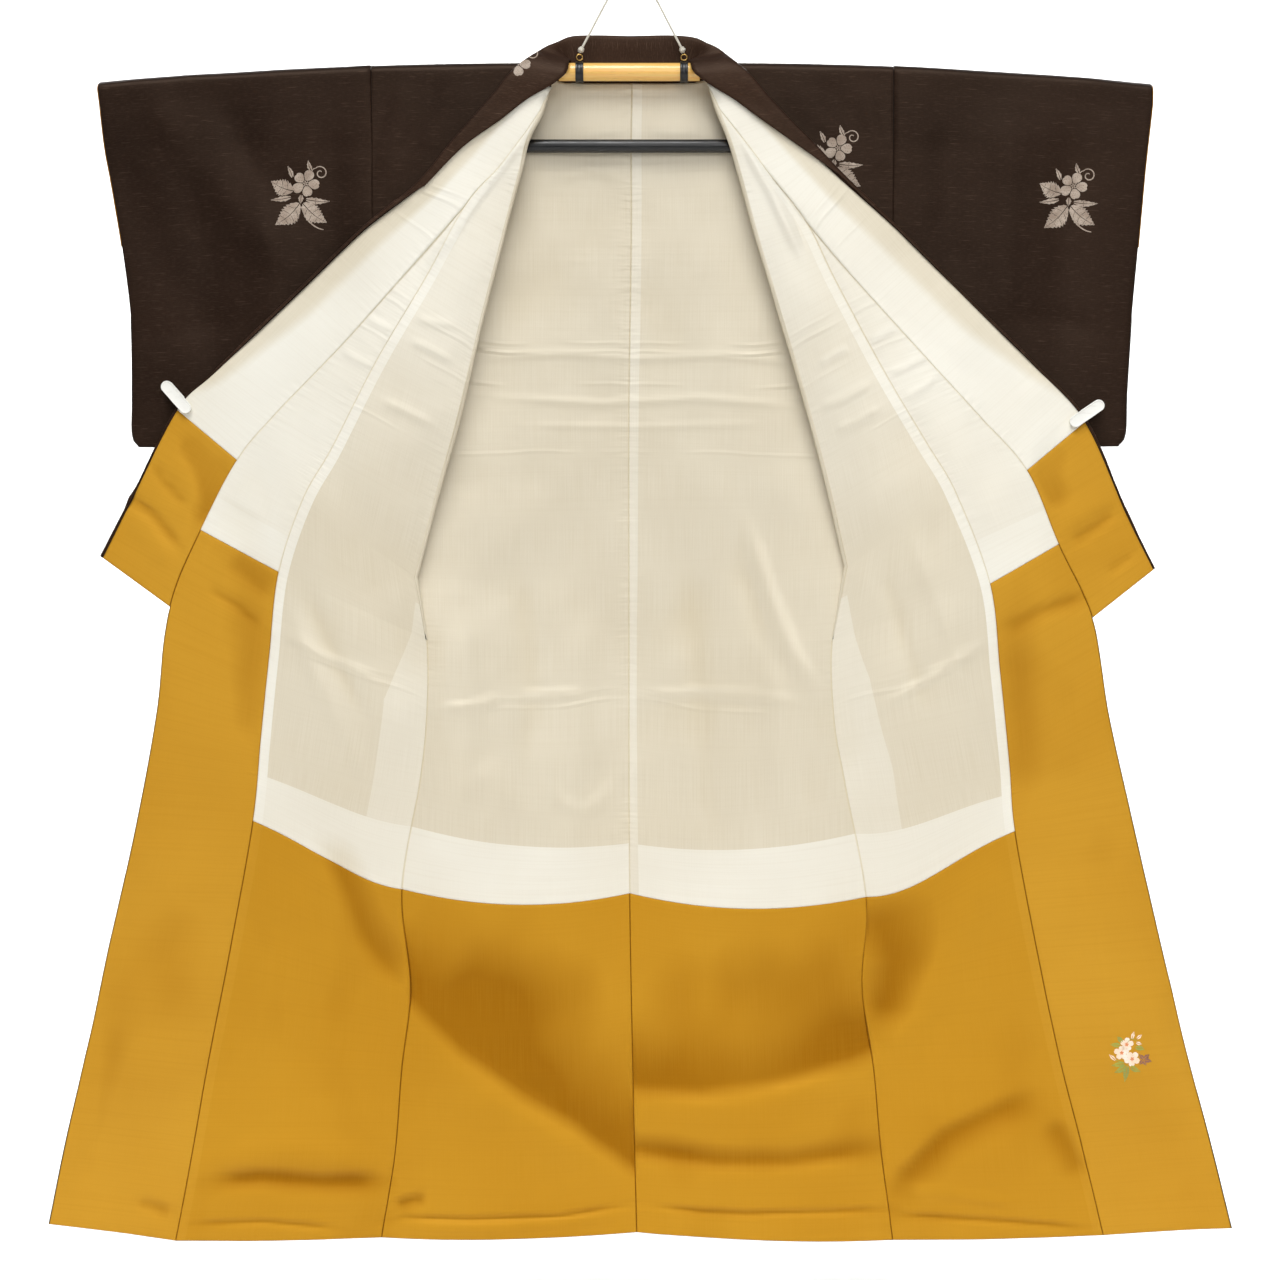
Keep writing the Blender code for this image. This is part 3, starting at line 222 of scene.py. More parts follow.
rightHalf = {
    "sign": 1,
    "neck": 98.4,
    "sag": 28.0,
    "side": (
        (0, 331, 136, 0), (1, 331, 160, 0), (2, 331, 220, 0), (3, 331, 264, 0), (4, 330, 353, 0),
        (5, 328, 449, 1), (6, 317, 577, -2), (7, 297, 680, -4), (8, 277, 768, -5), (9, 254, 861, -8),
        (10, 256, 965, -12), (11, 270, 1045, -14), (12, 296, 1186, -14), (13, 292, 1298, -8),
        (14, 306, 1400, -4), (15, 316, 1508, -2), (16, 331, 1623, 0),
    ),
    "fold": (
        (1, 98, 157, -13.6), (1.5, 107, 190, -14), (2, 119, 221, -14.5), (3, 134, 269, -15),
        (4, 156, 350, -15.5), (5, 185, 446, -15), (6, 223, 577, -13), (7, 250, 680, -11),
        (8, 270, 768, -8),
    ),
    "seam": (
        (2, 133, 219, -21), (3, 169, 267, -22), (4, 220, 333, -24), (5, 257, 408, -27),
        (6, 320, 526, -30), (7, 372, 614, -32), (8, 408, 676, -33), (9, 451, 790, -32),
        (10, 464, 901, -30), (11, 476, 1019, -28), (12, 483, 1102, -26), (13, 512, 1253, -18),
        (14, 542, 1393, -14), (15, 571, 1507, -12), (16, 597, 1615, -10),
    ),
    "edge": (
        (4, 220, 333, -24), (5, 274, 398, -27.5), (6, 372, 507, -29), (7, 439, 580, -28),
        (8, 498, 647, -26), (9, 538, 740, -26), (10, 581, 833, -26), (11, 601, 953, -24),
        (12, 631, 1082, -20), (13, 668, 1240, -16), (14, 702, 1380, -14), (15, 732, 1494, -12),
        (16, 760, 1606, -10),
    ),
    "collarFold": (
        (0, 0, 94, 17.3), (0.1, 46, 93, 17.3), (0.2, 75, 95, 16.5), (0.3, 87, 99, 14),
        (0.4, 95, 104, 10), (0.5, 106, 110, 5), (0.6, 116, 118, 0), (0.7, 125, 127, -12.5),
        (0.8, 135, 136, -19), (1, 149, 150, -22), (1.5, 169, 174, -23), (2, 191, 198, -24.5),
        (3, 227, 235, -26), (4, 266, 276, -26.5), (5, 336, 342, -22), (6, 441, 446, -19),
        (7, 511, 515, -18), (8, 574, 584, -18), (9, 626, 701, -20), (10, 660, 771, -22),
    ),
    "collarFree": (
        (0, 0, 146, 16.2), (0.1, 45, 146, 16.2), (0.2, 64, 145, 16), (0.3, 70, 141, 15.4),
        (0.4, 73, 133, 13.4), (0.5, 74, 125, 6), (0.6, 74, 125, 0), (0.7, 74, 130, -15),
        (0.8, 76, 141, -24), (1, 88, 153, -27), (1.5, 128, 178, -25), (2, 156, 199, -27),
        (3, 212, 239, -28.5), (4, 260, 273, -29),
    ),
    "sleeveInner": (
        (4, 330, 353, 10.5), (5, 332, 449, 9), (6, 327, 546, 7.5), (7, 323, 602, 5), (8, 321, 618, 0),
    ),
    "sleeveOuter": (
        (0, 659, 156, 0), (1, 659, 160, 0), (2, 653, 220, 0), (3, 649, 264, 0), (4, 642, 353, 0),
        (5, 634, 450, 0), (6, 628, 546, 0), (7, 626, 600, 0), (8, 617, 614, 0),
    ),
    "clip": {"tail": (592, 563), "nose": (557, 587)},
}
mouthOpening = (
    (0, 13.6), (1, 12.5), (2, 9.5), (3, 7), (4, 2.5), (5, 0), (8, 0),
)
collarLean = (
    (0, 0), (0.3, 0), (0.4, 25), (0.5, 50), (0.6, 75), (0.7, 55), (0.8, 25), (1, 0), (10, 0),
)
collarRoll = (
    (0, 0), (0.4, 0), (0.5, 0.5), (0.6, 1), (1, 1), (1.5, 0), (10, 0),
)
collarFolding = (
    (0, 2.15, 7), (3, 2.15, 7), (4, 1.8, 5), (5, 0.7, 2), (10, 0.7, 2),
)
bodyShape = (
    (1, 0, 0, 0), (4, 0, 2, 0), (6, 0, 5, 2), (8, 2, 9, 4), (9, 4, 12, 6), (10, 8, 12, 8),
    (11, 12, 6, 6), (12, 18, -8, 2), (13, 14, -12, 8), (14, 8, -8, 10), (15, 6, 6, -6), (16, 6, 8, -6),
)


# half depth of the cloth beside the sides, where front and back are joined, and just inside
joinGap = ((1, 13.6), (2, 13), (3, 12), (4, 10.5), (5, 4.5), (6, 0.15), (8, 0.15), (9, 0))
openGap = ((1, 13.6), (2, 13), (3, 12), (4, 10.5), (5, 4.5), (6, 1.6), (8, 1.6), (9, 0))
sideStrip = {  # seam allowance beside the side seam, on the turned front: section, width
    "left": ((8.4, 6), (9, 21), (9.6, 44), (10, 57), (12, 61), (16, 61)),
    "right": ((8.4, 8), (9, 29), (9.6, 50), (10, 56), (11, 64), (12, 58), (16, 58)),
}
frontStrip = ((1.5, 7), (2, 9), (4, 11), (6, 13), (8, 14), (9, 13), (12, 12), (16, 12))
wayDown = (16.0, 24.0, 30.0, 90.0, 134.0, 223.0, 319.0, 437.0, 556.0, 652.0, 731.0, 826.0, 908.0, 1046.0,
           1175.0, 1277.0, 1385.0, 1490.0)  # along the cloth, at each of the next line's sections
wayLevels = (0.5, 0.8, 1, 2, 3, 4, 5, 6, 7, 8, 9, 10, 11, 12, 13, 14, 15, 16)
overPlan = {  # cloth over pole and arms: half depth and rise, the pole's drop, and where the arms bow
    "depth": 13.6, "rise": 9.95, "level": 139.7, "bowFrom": 108.0, "bowOver": 567.0,
}
clothPlan = {  # in mm
    "turn": 3.0, "side": 3.0, "rim": 1.6, "step": 6.4, "rowStep": 6.6, "creasedStep": 3.6,
    "backWidth": 327.0, "centreStrip": 13.0, "hiddenWidth": 222.0, "turnedWidth": 265.0,
    "overlapWidth": 160.0, "sleeveWidth": 316.0, "sleeveStep": 7.5,
}


# Values of a table at these sections, curved between its rows
def readTable(rows, at):
    table = np.array(rows, dtype=float)
    knots, values = table[:, 0], table[:, 1:]
    slopes = np.gradient(values, knots, axis=0)
    at = np.atleast_1d(np.asarray(at, dtype=float))
    k = np.clip(np.searchsorted(knots, at, side="right") - 1, 0, len(knots) - 2)
    span = (knots[k + 1] - knots[k])[:, None]
    t = (at - knots[k])[:, None] / span
    rest = 1 - t
    ends = values[k] * (1 + 2 * t) * rest**2 + values[k + 1] * t**2 * (3 - 2 * t)
    return ends + span * t * rest * (slopes[k] * rest - slopes[k + 1] * t)


def lineAt(rows, at):
    x, drop, depth = readTable(rows, at).T
    return np.stack((x, depth, -drop), axis=1)


def straight(rows, at, column=1):
    table = np.array(rows, dtype=float)
    return np.interp(at, table[:, 0], table[:, column])


# Shares that fall to 0 at a section, or rise from 0 behind it
def before(at, section, span=0.5):
    return np.clip((section - np.asarray(at, dtype=float)) / span, 0, 1)[:, None]


def behind(at, section):
    return np.clip(np.asarray(at, dtype=float) - section, 0, 1)[:, None]


def armDrop(half, x):
    reach = np.maximum(0.0, np.abs(x) - overPlan["bowFrom"])
    return overPlan["level"] + half["sag"] * (reach / overPlan["bowOver"]) ** 2


# Points of the cloth over the hanger. Positive angles are on the back
def overArm(half, x, degrees):
    x, degrees = np.broadcast_arrays(np.asarray(x, dtype=float), np.asarray(degrees, dtype=float))
    angle = np.radians(degrees)
    up = -armDrop(half, x) + overPlan["rise"] * np.cos(angle)
    return np.stack((x, overPlan["depth"] * np.sin(angle), up), axis=-1)


def shoulderX(half):
    return readTable(half["side"], 0)[0, 0]


def sleeveEndX(half):
    return readTable(half["sleeveOuter"], 0)[0, 0]


def sideLine(half, at, face):
    point = lineAt(half["side"], np.maximum(at, 1.0))
    point[:, 1] += face * straight(joinGap, at)
    return mix(point, overArm(half, shoulderX(half), 90.0 * face), before(at, 1.0))


# The half turn where the front is folded outwards, 0 on its hidden side
def foldTurn(half, at, degrees):
    angle, reach = math.radians(degrees), clothPlan["turn"]
    shift = np.array((half["sign"] * reach * (1 - math.sin(angle)), -reach * (1 - math.cos(angle)), 0.0))
    point = lineAt(half["fold"], np.clip(at, 1.5, 8)) + shift
    point = mix(point, lineAt(half["fold"], 1.0), before(at, 1.5))
    return mix(point, lineAt(half["side"], 9.0), behind(at, 8))


def seamLine(half, at):
    start = foldTurn(half, np.full(1, 1.5), 180)
    return mix(lineAt(half["seam"], np.maximum(at, 2.0)), start, before(at, 2.0))


def turnedStart(half, at):
    return np.where(np.asarray(at)[:, None] < 9, foldTurn(half, at, 180), lineAt(half["side"], at))


# Rows that all the body panels share, closer where the cloth is creased and beside the seams
def bodyRows():
    found = [1.0]
    while found[-1] < 16:
        here = found[-1]
        fall = float(np.interp(here, (1, 2, 3, 4, 6, 9, 12, 16), (60, 60, 78, 105, 112, 100, 118, 104)))
        creased = 5.2 < here < 6.3 or 9.7 < here < 10.1 or here > 15.5
        found.append(here + clothPlan["creasedStep" if creased else "rowStep"] / fall)
    marks = [1, 1.5, 2, 4, 8, 8.55, 9, 10, 11.45, 12, 16]
    marks += [7.984, 8.016, 8.984, 9.016, 9.984, 11.986, 12.014, 15.986]
    kept = [row for row in found if row < 16 and min(abs(row - mark) for mark in marks) > 0.028]
    return np.array(sorted(kept + marks))


levels = bodyRows()
topLevels = np.array((0.5, 0.667, 0.833))
arcDegrees = np.array((0.0, 15, 30, 45, 60, 75, 90))
curls = np.array((0.0, 0.45, 0.8, 1.0))  # the last 3 mm before the side seam
neckMarks = (0, 0.43, 0.81, 0.925, 1)  # from the middle of the neck to its corner


# Shares across a panel of this width, closer at both edges, with set shares among them
def columns(width, marks=(), step=clothPlan["step"]):
    rim = clothPlan["rim"] / width
    fixed = sorted({0.0, rim, 1.0 - rim, 1.0, *marks})
    found = [0.0]
    for low, high in zip(fixed, fixed[1:]):
        count = max(1, round((high - low) * width / step))
        found += [low + (high - low) * (k + 1) / count for k in range(count)]
    return np.array(found)


# Rows of points from line a to line b, at these shares: one list, or one for each row
def grow(a, b, shares):
    shares = np.broadcast_to(shares, (len(a), np.shape(shares)[-1]))
    return a[:, None, :] + (b - a)[:, None, :] * shares[:, :, None]


# Back panel below the shoulder fold, from the centre seam to the side
def backPoints(half, rows, base):
    low = np.maximum(rows, 1.0)
    centre, edge = lineAt(centreBack, low), lineAt(half["side"], low)
    gap, join = straight(openGap, low), straight(joinGap, low)
    curlShare = clothPlan["side"] / np.abs(edge[:, 0] - centre[:, 0])
    shares = np.concatenate((
        base[None, :] * (1 - curlShare[:, None]),
        1 - curlShare[:, None] * (1 - curls[None, 1:]),
    ), axis=1)
    edge[:, 1] += gap
    points = grow(centre, edge, shares)
    points[..., 1] = centre[:, 1:2] + (edge[:, 1:2] - centre[:, 1:2]) * shares**1.6
    points[..., 2] -= straight(bodyShape, low)[:, None] * 4 * shares * (1 - shares)
    fall = 1 - np.sqrt(1 - curls[1:] ** 2)
    points[:, len(base):, 1] -= (gap - join)[:, None] * fall[None, :]
    points[:, -1] = sideLine(half, low, 1)
    topX = shoulderX(half) * shares[0]
    top = overArm(half, topX, 90.0)
    neckShares = np.abs(topX) / half["neck"]
    inNeck = neckShares < 1 - 1e-9
    top[inNeck, 1] = np.interp(neckShares[inNeck], neckMarks, (19.5, 19.5, 18, 15.5, 13.6))
    top[inNeck, 2] = -np.interp(neckShares[inNeck], neckMarks, (151, 151, 150.5, 148, 139.7))
    return mix(points, np.broadcast_to(top, points.shape), before(rows, 1.0)[..., None])


# Front panel behind its turned part, from the side to the fold
def hiddenPoints(half, rows, base):
    sign, x0, reach = half["sign"], shoulderX(half), clothPlan["side"]
    low = np.clip(rows, 1.0, 8.0)
    gap, join = straight(openGap, low), straight(joinGap, low)
    fall = 1 - np.sqrt(1 - curls**2)
    curled = lineAt(half["side"], low)[:, None, :] + np.zeros((1, len(curls), 1))
    curled[..., 0] -= sign * reach * (1 - curls[None, :])
    curled[..., 1] -= gap[:, None] - (gap - join)[:, None] * fall[None, :]
    curled = curled[:, ::-1]
    inner = foldTurn(half, low, 0)
    points = np.concatenate((curled[:, :-1], grow(curled[:, -1], inner, base)), axis=1)
    points[:, 0] = sideLine(half, low, -1)
    points = mix(points, lineAt(half["side"], 9.0)[None], behind(rows, 8)[..., None])
    topX = np.concatenate((
        x0 - sign * reach * (1 - curls[:0:-1]),
        x0 - sign * reach + (sign * (half["neck"] - abs(x0) + reach)) * base,
    ))
    return mix(points, overArm(half, topX, -90.0)[None], before(rows, 1.0)[..., None]), topX


def bulged(points, shares, heights):
    points[..., 1] -= heights[:, None] * 4 * shares * (1 - shares)
    return points


# Shares that put each row's marks at their own places across the panel
def warped(base, marks, places):
    return np.array([np.interp(base, (0, *marks, 1), (0, *own, 1)) for own in places])


def turnedPoints(half, side, rows, base, marks):
    start, end = turnedStart(half, rows), seamLine(half, rows)
    width = np.maximum(np.linalg.norm(end - start, axis=1), 1e-6)
    first = np.minimum(straight(sideStrip[side], rows) / width, 0.3)
    last = 1 - np.minimum(straight(frontStrip, rows) / width, 0.3)
    shares = warped(base, marks, np.stack((first, last), axis=1))
    points = grow(start, end, shares)
    # the panel sags a little where the two linings meet
    dip = eased(np.clip(1 - np.abs(rows - 12) / 1.5, 0, 1))
    dip = dip[:, None] * np.sin(math.pi * shares) * (1 - shares) ** 1.5
    points[..., 2] -= dip * {"left": 20.0, "right": 28.0}[side]
    return bulged(points, shares, readTable(bodyShape, rows)[:, 1])


def overlapPoints(half, rows, base, mark):
    start, end = seamLine(half, rows), lineAt(half["edge"], rows)
    width = np.maximum(np.linalg.norm(end - start, axis=1), 1e-6)
    last = 1 - np.minimum(clothPlan["side"] / width, 0.3)
    shares = warped(base, (mark,), last[:, None])
    return bulged(grow(start, end, shares), shares, readTable(bodyShape, rows)[:, 2])


# Centripetal curves through each row's points, with this many steps in each gap
def spline(points, counts):
    first, last = 2 * points[:, :1] - points[:, 1:2], 2 * points[:, -1:] - points[:, -2:-1]
    padded = np.concatenate((first, points, last), axis=1)
    made = [points[:, :1]]
    for k, count in enumerate(counts):
        p0, p1, p2, p3 = (padded[:, k + n] for n in range(4))
        d0, d1, d2 = (np.maximum(np.linalg.norm(b - a, axis=1), 1e-6)[:, None] ** 0.5
                      for a, b in ((p0, p1), (p1, p2), (p2, p3)))
        m1 = d1 * ((p1 - p0) / d0 - (p2 - p0) / (d0 + d1) + (p2 - p1) / d1)
        m2 = d1 * ((p2 - p1) / d1 - (p3 - p1) / (d1 + d2) + (p3 - p2) / d2)
        for n in range(1, count + 1):
            t = n / count
            made.append(((2 * t**3 - 3 * t**2 + 1) * p1 + (t**3 - 2 * t**2 + t) * m1
                         + (3 * t**2 - 2 * t**3) * p2 + (t**3 - t**2) * m2)[:, None])
    return np.concatenate(made, axis=1)


collarSteps = (2, 1, 7, 7, 1, 3, 3, 5, 5)
sewnSteps = sum(collarSteps[:4])  # up to the fold


# Collar strip: sewn half, fold, and the half that is folded over at the neck
def collarPoints(half, sections, starts):
    sign = half["sign"]
    fold = lineAt(half["collarFold"], sections)
    lean = np.radians(straight(collarLean, sections))
    over = np.stack((-sign * 0.75 * np.sin(lean), -np.cos(lean), 0.66 * np.sin(lean)), axis=1)
    roll = straight(collarRoll, sections)[:, None]
    radius = straight(collarFolding, sections)[:, None]
    setBack = straight(collarFolding, sections, 2)[:, None]

    def direction(vectors):
        return vectors / np.maximum(np.linalg.norm(vectors, axis=1), 1e-9)[:, None]

    sewnEnd, foldedStart = fold - radius * over, fold + radius * over
    across = direction(sewnEnd - starts)
    inward = np.array((-sign * 1.0, 0.0, 0.0))
    first = starts + roll * 3.0 * (inward + over) + (1 - roll) * across * 5
    second = starts + roll * 6.0 * over + (1 - roll) * across * 10
    last = sewnEnd - direction(sewnEnd - second) * setBack
    short = foldedStart - across * 0.8
    ended = mix(lineAt(half["collarFree"], 4.0), short, behind(sections, 4))
    free = np.where(sections[:, None] <= 4, lineAt(half["collarFree"], np.minimum(sections, 4)), ended)
    points = np.stack((starts, first, second, mix(second, last, 0.5), last, sewnEnd,
                       fold + radius * across, foldedStart, mix(foldedStart, free, 0.5), free), axis=1)
    return spline(points, collarSteps)


# One face of the sleeve below the hanger, from the side line outwards
def sleevePoints(half, rows, shares, face):
    x0 = shoulderX(half)
    low = np.maximum(rows, 1.0)
    attached = low <= 4
    sideRows = lineAt(half["side"], np.minimum(low, 4.0))
    hung = readTable(half["sleeveInner"], np.maximum(low, 4.0))
    innerX = np.where(attached, sideRows[:, 0], hung[:, 0])
    innerDrop = np.where(attached, -sideRows[:, 2], hung[:, 1])
    depth = np.where(attached, straight(openGap, low), hung[:, 2])
    outer = readTable(half["sleeveOuter"], low)
    sideTop = armDrop(half, x0)
    bottom, bottomOut = half["sleeveInner"][-1][2], half["sleeveOuter"][-1][2]
    level = (innerDrop - sideTop) / (bottom - sideTop)
    x = innerX[:, None] + (outer[:, 0] - innerX)[:, None] * shares[None, :]
    drop = mix(armDrop(half, x), mix(bottom, bottomOut, shares[None, :]), level[:, None])
    y = mix(depth[:, None], straight(mouthOpening, low)[:, None], shares[None, :] ** 4)
    points = np.stack((x, face * y, -drop), axis=-1)
    points[attached, 0] = sideLine(half, low[attached], face)
    top = overArm(half, mix(x0, sleeveEndX(half), shares), 90.0 * face)
    return mix(points, top[None], before(rows, 1.0)[..., None])


blocks = {}  # the surface between outer cloth and lining. Faces look to the lining's side


def addBlock(name, points, flip, region, along, doubledAndSheen=0.0):
    gaps = np.linalg.norm(np.diff(points, axis=1), axis=2)
    across = np.concatenate((np.zeros((len(points), 1)), np.cumsum(gaps, axis=1)), axis=1)
    edgeFar = np.minimum(across, across[:, -1:] - across)
    blocks[name] = {
        "points": points,
        "flip": flip,
        "region": region,
        "weave": np.stack((across, np.broadcast_to(along[:, None], across.shape)), axis=-1) * mm,
        "beside": np.exp(-edgeFar / 11.0) * (region != "fold"),
        "doubledAndSheen": np.full((len(points) - 1, points.shape[1] - 1), float(doubledAndSheen)),
    }
    return blocks[name]


def down(rows):
    return np.interp(rows, wayLevels, wayDown)


# distance along a column of points, for the weave
def travel(points, column):
    return np.concatenate(([0], np.cumsum(np.linalg.norm(np.diff(points[:, column], axis=0), axis=1))))


def nearest(shares, mark):
    return int(np.argmin(np.abs(shares - mark)))


# brighter silk where a seam allowance or a second layer lies behind; towards the neck of the turned fronts it is
# painted sheen
def buildBack(side, half):
    flip = half["sign"] < 0
    centreMark = clothPlan["centreStrip"] / clothPlan["backWidth"]
    neckShare = half["neck"] / (abs(shoulderX(half)) - clothPlan["side"])
    marks = [neckShare * share for share in (0.43, 0.81, 0.925, 0.965, 1)]
    if not flip:
        marks.append(centreMark)
    base = columns(clothPlan["backWidth"], marks)
    rows = np.concatenate((topLevels, levels))
    points = backPoints(half, rows, base)
    back = addBlock("back_" + side, points, flip, "back", down(rows))
    back["doubledAndSheen"][(rows[:-1] >= 11.45) & (rows[:-1] < 12)] = 0.85
    if not flip:
        back["doubledAndSheen"][rows[:-1] < 12, :nearest(base, centreMark)] = 0.45
    neckColumn = nearest(base, neckShare)
    arcs = overArm(half, points[0, neckColumn:, 0][None, :], arcDegrees[:, None])
    arcs[-1] = points[0, neckColumn:]
    addBlock("shoulder_" + side, arcs, flip, "top", arcDegrees * 0.18)
    return neckColumn


def buildFront(side, half):
    flip = half["sign"] < 0
    rows = np.concatenate((topLevels, levels[levels <= 9]))
    points, topX = hiddenPoints(half, rows, columns(clothPlan["hiddenWidth"]))
    addBlock("hidden_" + side, points, flip, "hidden", down(rows))
    arcs = overArm(half, topX[None, :], -arcDegrees[:, None])
    arcs[-1] = points[0]
    addBlock("shoulder_front_" + side, arcs, flip, "top", -arcDegrees * 0.18)
    rows = levels[levels <= 9]
    turn = np.stack([foldTurn(half, rows, degrees) for degrees in np.linspace(0, 180, 9)], axis=1)
    addBlock("fold_" + side, turn, flip, "fold", down(rows))
    rows, marks = levels[levels >= 1.5], (0.2, 0.95)
    base = columns(clothPlan["turnedWidth"], marks, 6.0)
    points = turnedPoints(half, side, rows, base, marks)
    turned = addBlock("turned_" + side, points, flip, "turned", down(rows))
    doubledAndSheen, rows = turned["doubledAndSheen"], rows[:-1]
    doubledAndSheen[(rows >= 11.45) & (rows < 12)] = 0.8
    first, last = (nearest(base, mark) for mark in marks)
    doubledAndSheen[(rows >= 8.4) & (rows < 11.45), :first] = 0.4
    # painted sheen: the turned fronts' lining grows brighter towards the neck
    np.maximum(doubledAndSheen, 0.85 * np.clip((8.0 - rows) / 4.4, 0, 1)[:, None], out=doubledAndSheen)
    doubledAndSheen[rows < 12, last:] = 1.0
    doubledAndSheen[rows >= 12, last:] = 0.5
    rows, mark = levels[levels >= 4], 0.97
    points = overlapPoints(half, rows, columns(clothPlan["overlapWidth"], (mark,), 6.0), mark)
    overlap = addBlock("overlap_" + side, points, flip, "turned", down(rows), 0.85)
    overlap["doubledAndSheen"][(rows[:-1] >= 8.55) & (rows[:-1] < 9)] = 1.0


# collar, from the middle of the neck to its end
def buildCollar(side, half, neckColumn):
    neck, corner = blocks["back_" + side]["points"][0, : neckColumn + 1], [half["sign"] * half["neck"]]
    sections = [np.interp(np.abs(neck[:, 0]) / half["neck"], neckMarks, (0, 0.1, 0.2, 0.3, 0.4))]
    starts = [neck]
    for degrees in range(75, -91, -15):
        sections.append([0.6 - degrees / 450.0])
        starts.append(overArm(half, corner, [degrees]))
    rows = np.concatenate((topLevels[1:], levels[levels <= 10]))
    sections.append(np.where(rows < 1, 0.8 + (rows - 0.5) * 0.4, rows))
    edge = foldTurn(half, np.maximum(rows, 1), 180)
    edge = mix(edge, overArm(half, corner, [-90]), before(rows, 1))
    edge = np.where(rows[:, None] > 1.5, seamLine(half, np.maximum(rows, 1.5)), edge)
    starts.append(np.where(rows[:, None] > 4, lineAt(half["edge"], np.maximum(rows, 4)), edge))
    sections = np.concatenate(sections)
    points = collarPoints(half, sections, np.concatenate(starts))
    along = travel(points, points.shape[1] // 2)
    addBlock("collar_" + side, points, half["sign"] < 0, "collar", along, 1.0)["sections"] = sections


# sleeve, a loop over the hanger
def buildSleeve(side, half):
    hung = np.concatenate((levels[levels <= 4], np.linspace(4, 7, 33)[1:], (7.3, 7.6, 7.8, 7.92)))
    face = np.concatenate((topLevels, hung))
    backFace = sleevePoints(half, np.concatenate(([8.0], face[::-1])), sleeveShares, 1)
    frontFace = sleevePoints(half, face, sleeveShares, -1)
    x = mix(shoulderX(half), sleeveEndX(half), sleeveShares)
    arc = overArm(half, x[None, :], np.arange(75.0, -76.0, -15.0)[:, None])
    points = np.concatenate((backFace, arc, frontFace, backFace[:1]))
    sleeve = addBlock("sleeve_" + side, points, half["sign"] > 0, "sleeve", travel(points, 5))
    sleeve["sections"] = np.concatenate(([8], face[::-1], np.full(len(arc), 0.5), face, [8]))


mouthMark = 0.95  # where the facing of the sleeve's mouth starts
sleeveShares = columns(clothPlan["sleeveWidth"], (mouthMark,), clothPlan["sleeveStep"])
halves = {"left": leftHalf, "right": rightHalf}
neckColumns = {}
for side, half in halves.items():
    neckColumns[side] = buildBack(side, half)
    buildFront(side, half)
    buildCollar(side, half, neckColumns[side])
    buildSleeve(side, half)


# one list of points, where blocks that meet share theirs
def weldBlocks():
    every = np.concatenate([block["points"].reshape(-1, 3) for block in blocks.values()])
    _, first, slots = np.unique(np.round(every, 3), axis=0, return_index=True, return_inverse=True)
    slots = slots.reshape(-1)
    start = 0
    for block in blocks.values():
        rows, cols = block["points"].shape[:2]
        block["slots"] = slots[start : start + rows * cols].reshape(rows, cols)
        start += rows * cols
    return every[first]


def pointNormals(points):
    total = np.zeros_like(points)
    for block in blocks.values():
        slots = block["slots"]
        loops = np.stack((slots[:-1, :-1], slots[1:, :-1], slots[1:, 1:], slots[:-1, 1:]), axis=-1)
        loops = (loops[..., ::-1] if block["flip"] else loops).reshape(-1, 4)
        a, b, c, d = (points[loops[:, corner]] for corner in range(4))
        normal = np.cross(c - a, d - b)
        for corner in range(4):
            np.add.at(total, loops[:, corner], normal)
    lengths = np.linalg.norm(total, axis=1)
    return total / np.where(lengths > 1e-12, lengths, 1)[:, None]


surface = weldBlocks()
normals = pointNormals(surface)
print("stage: cloth surface,", len(surface), "points")


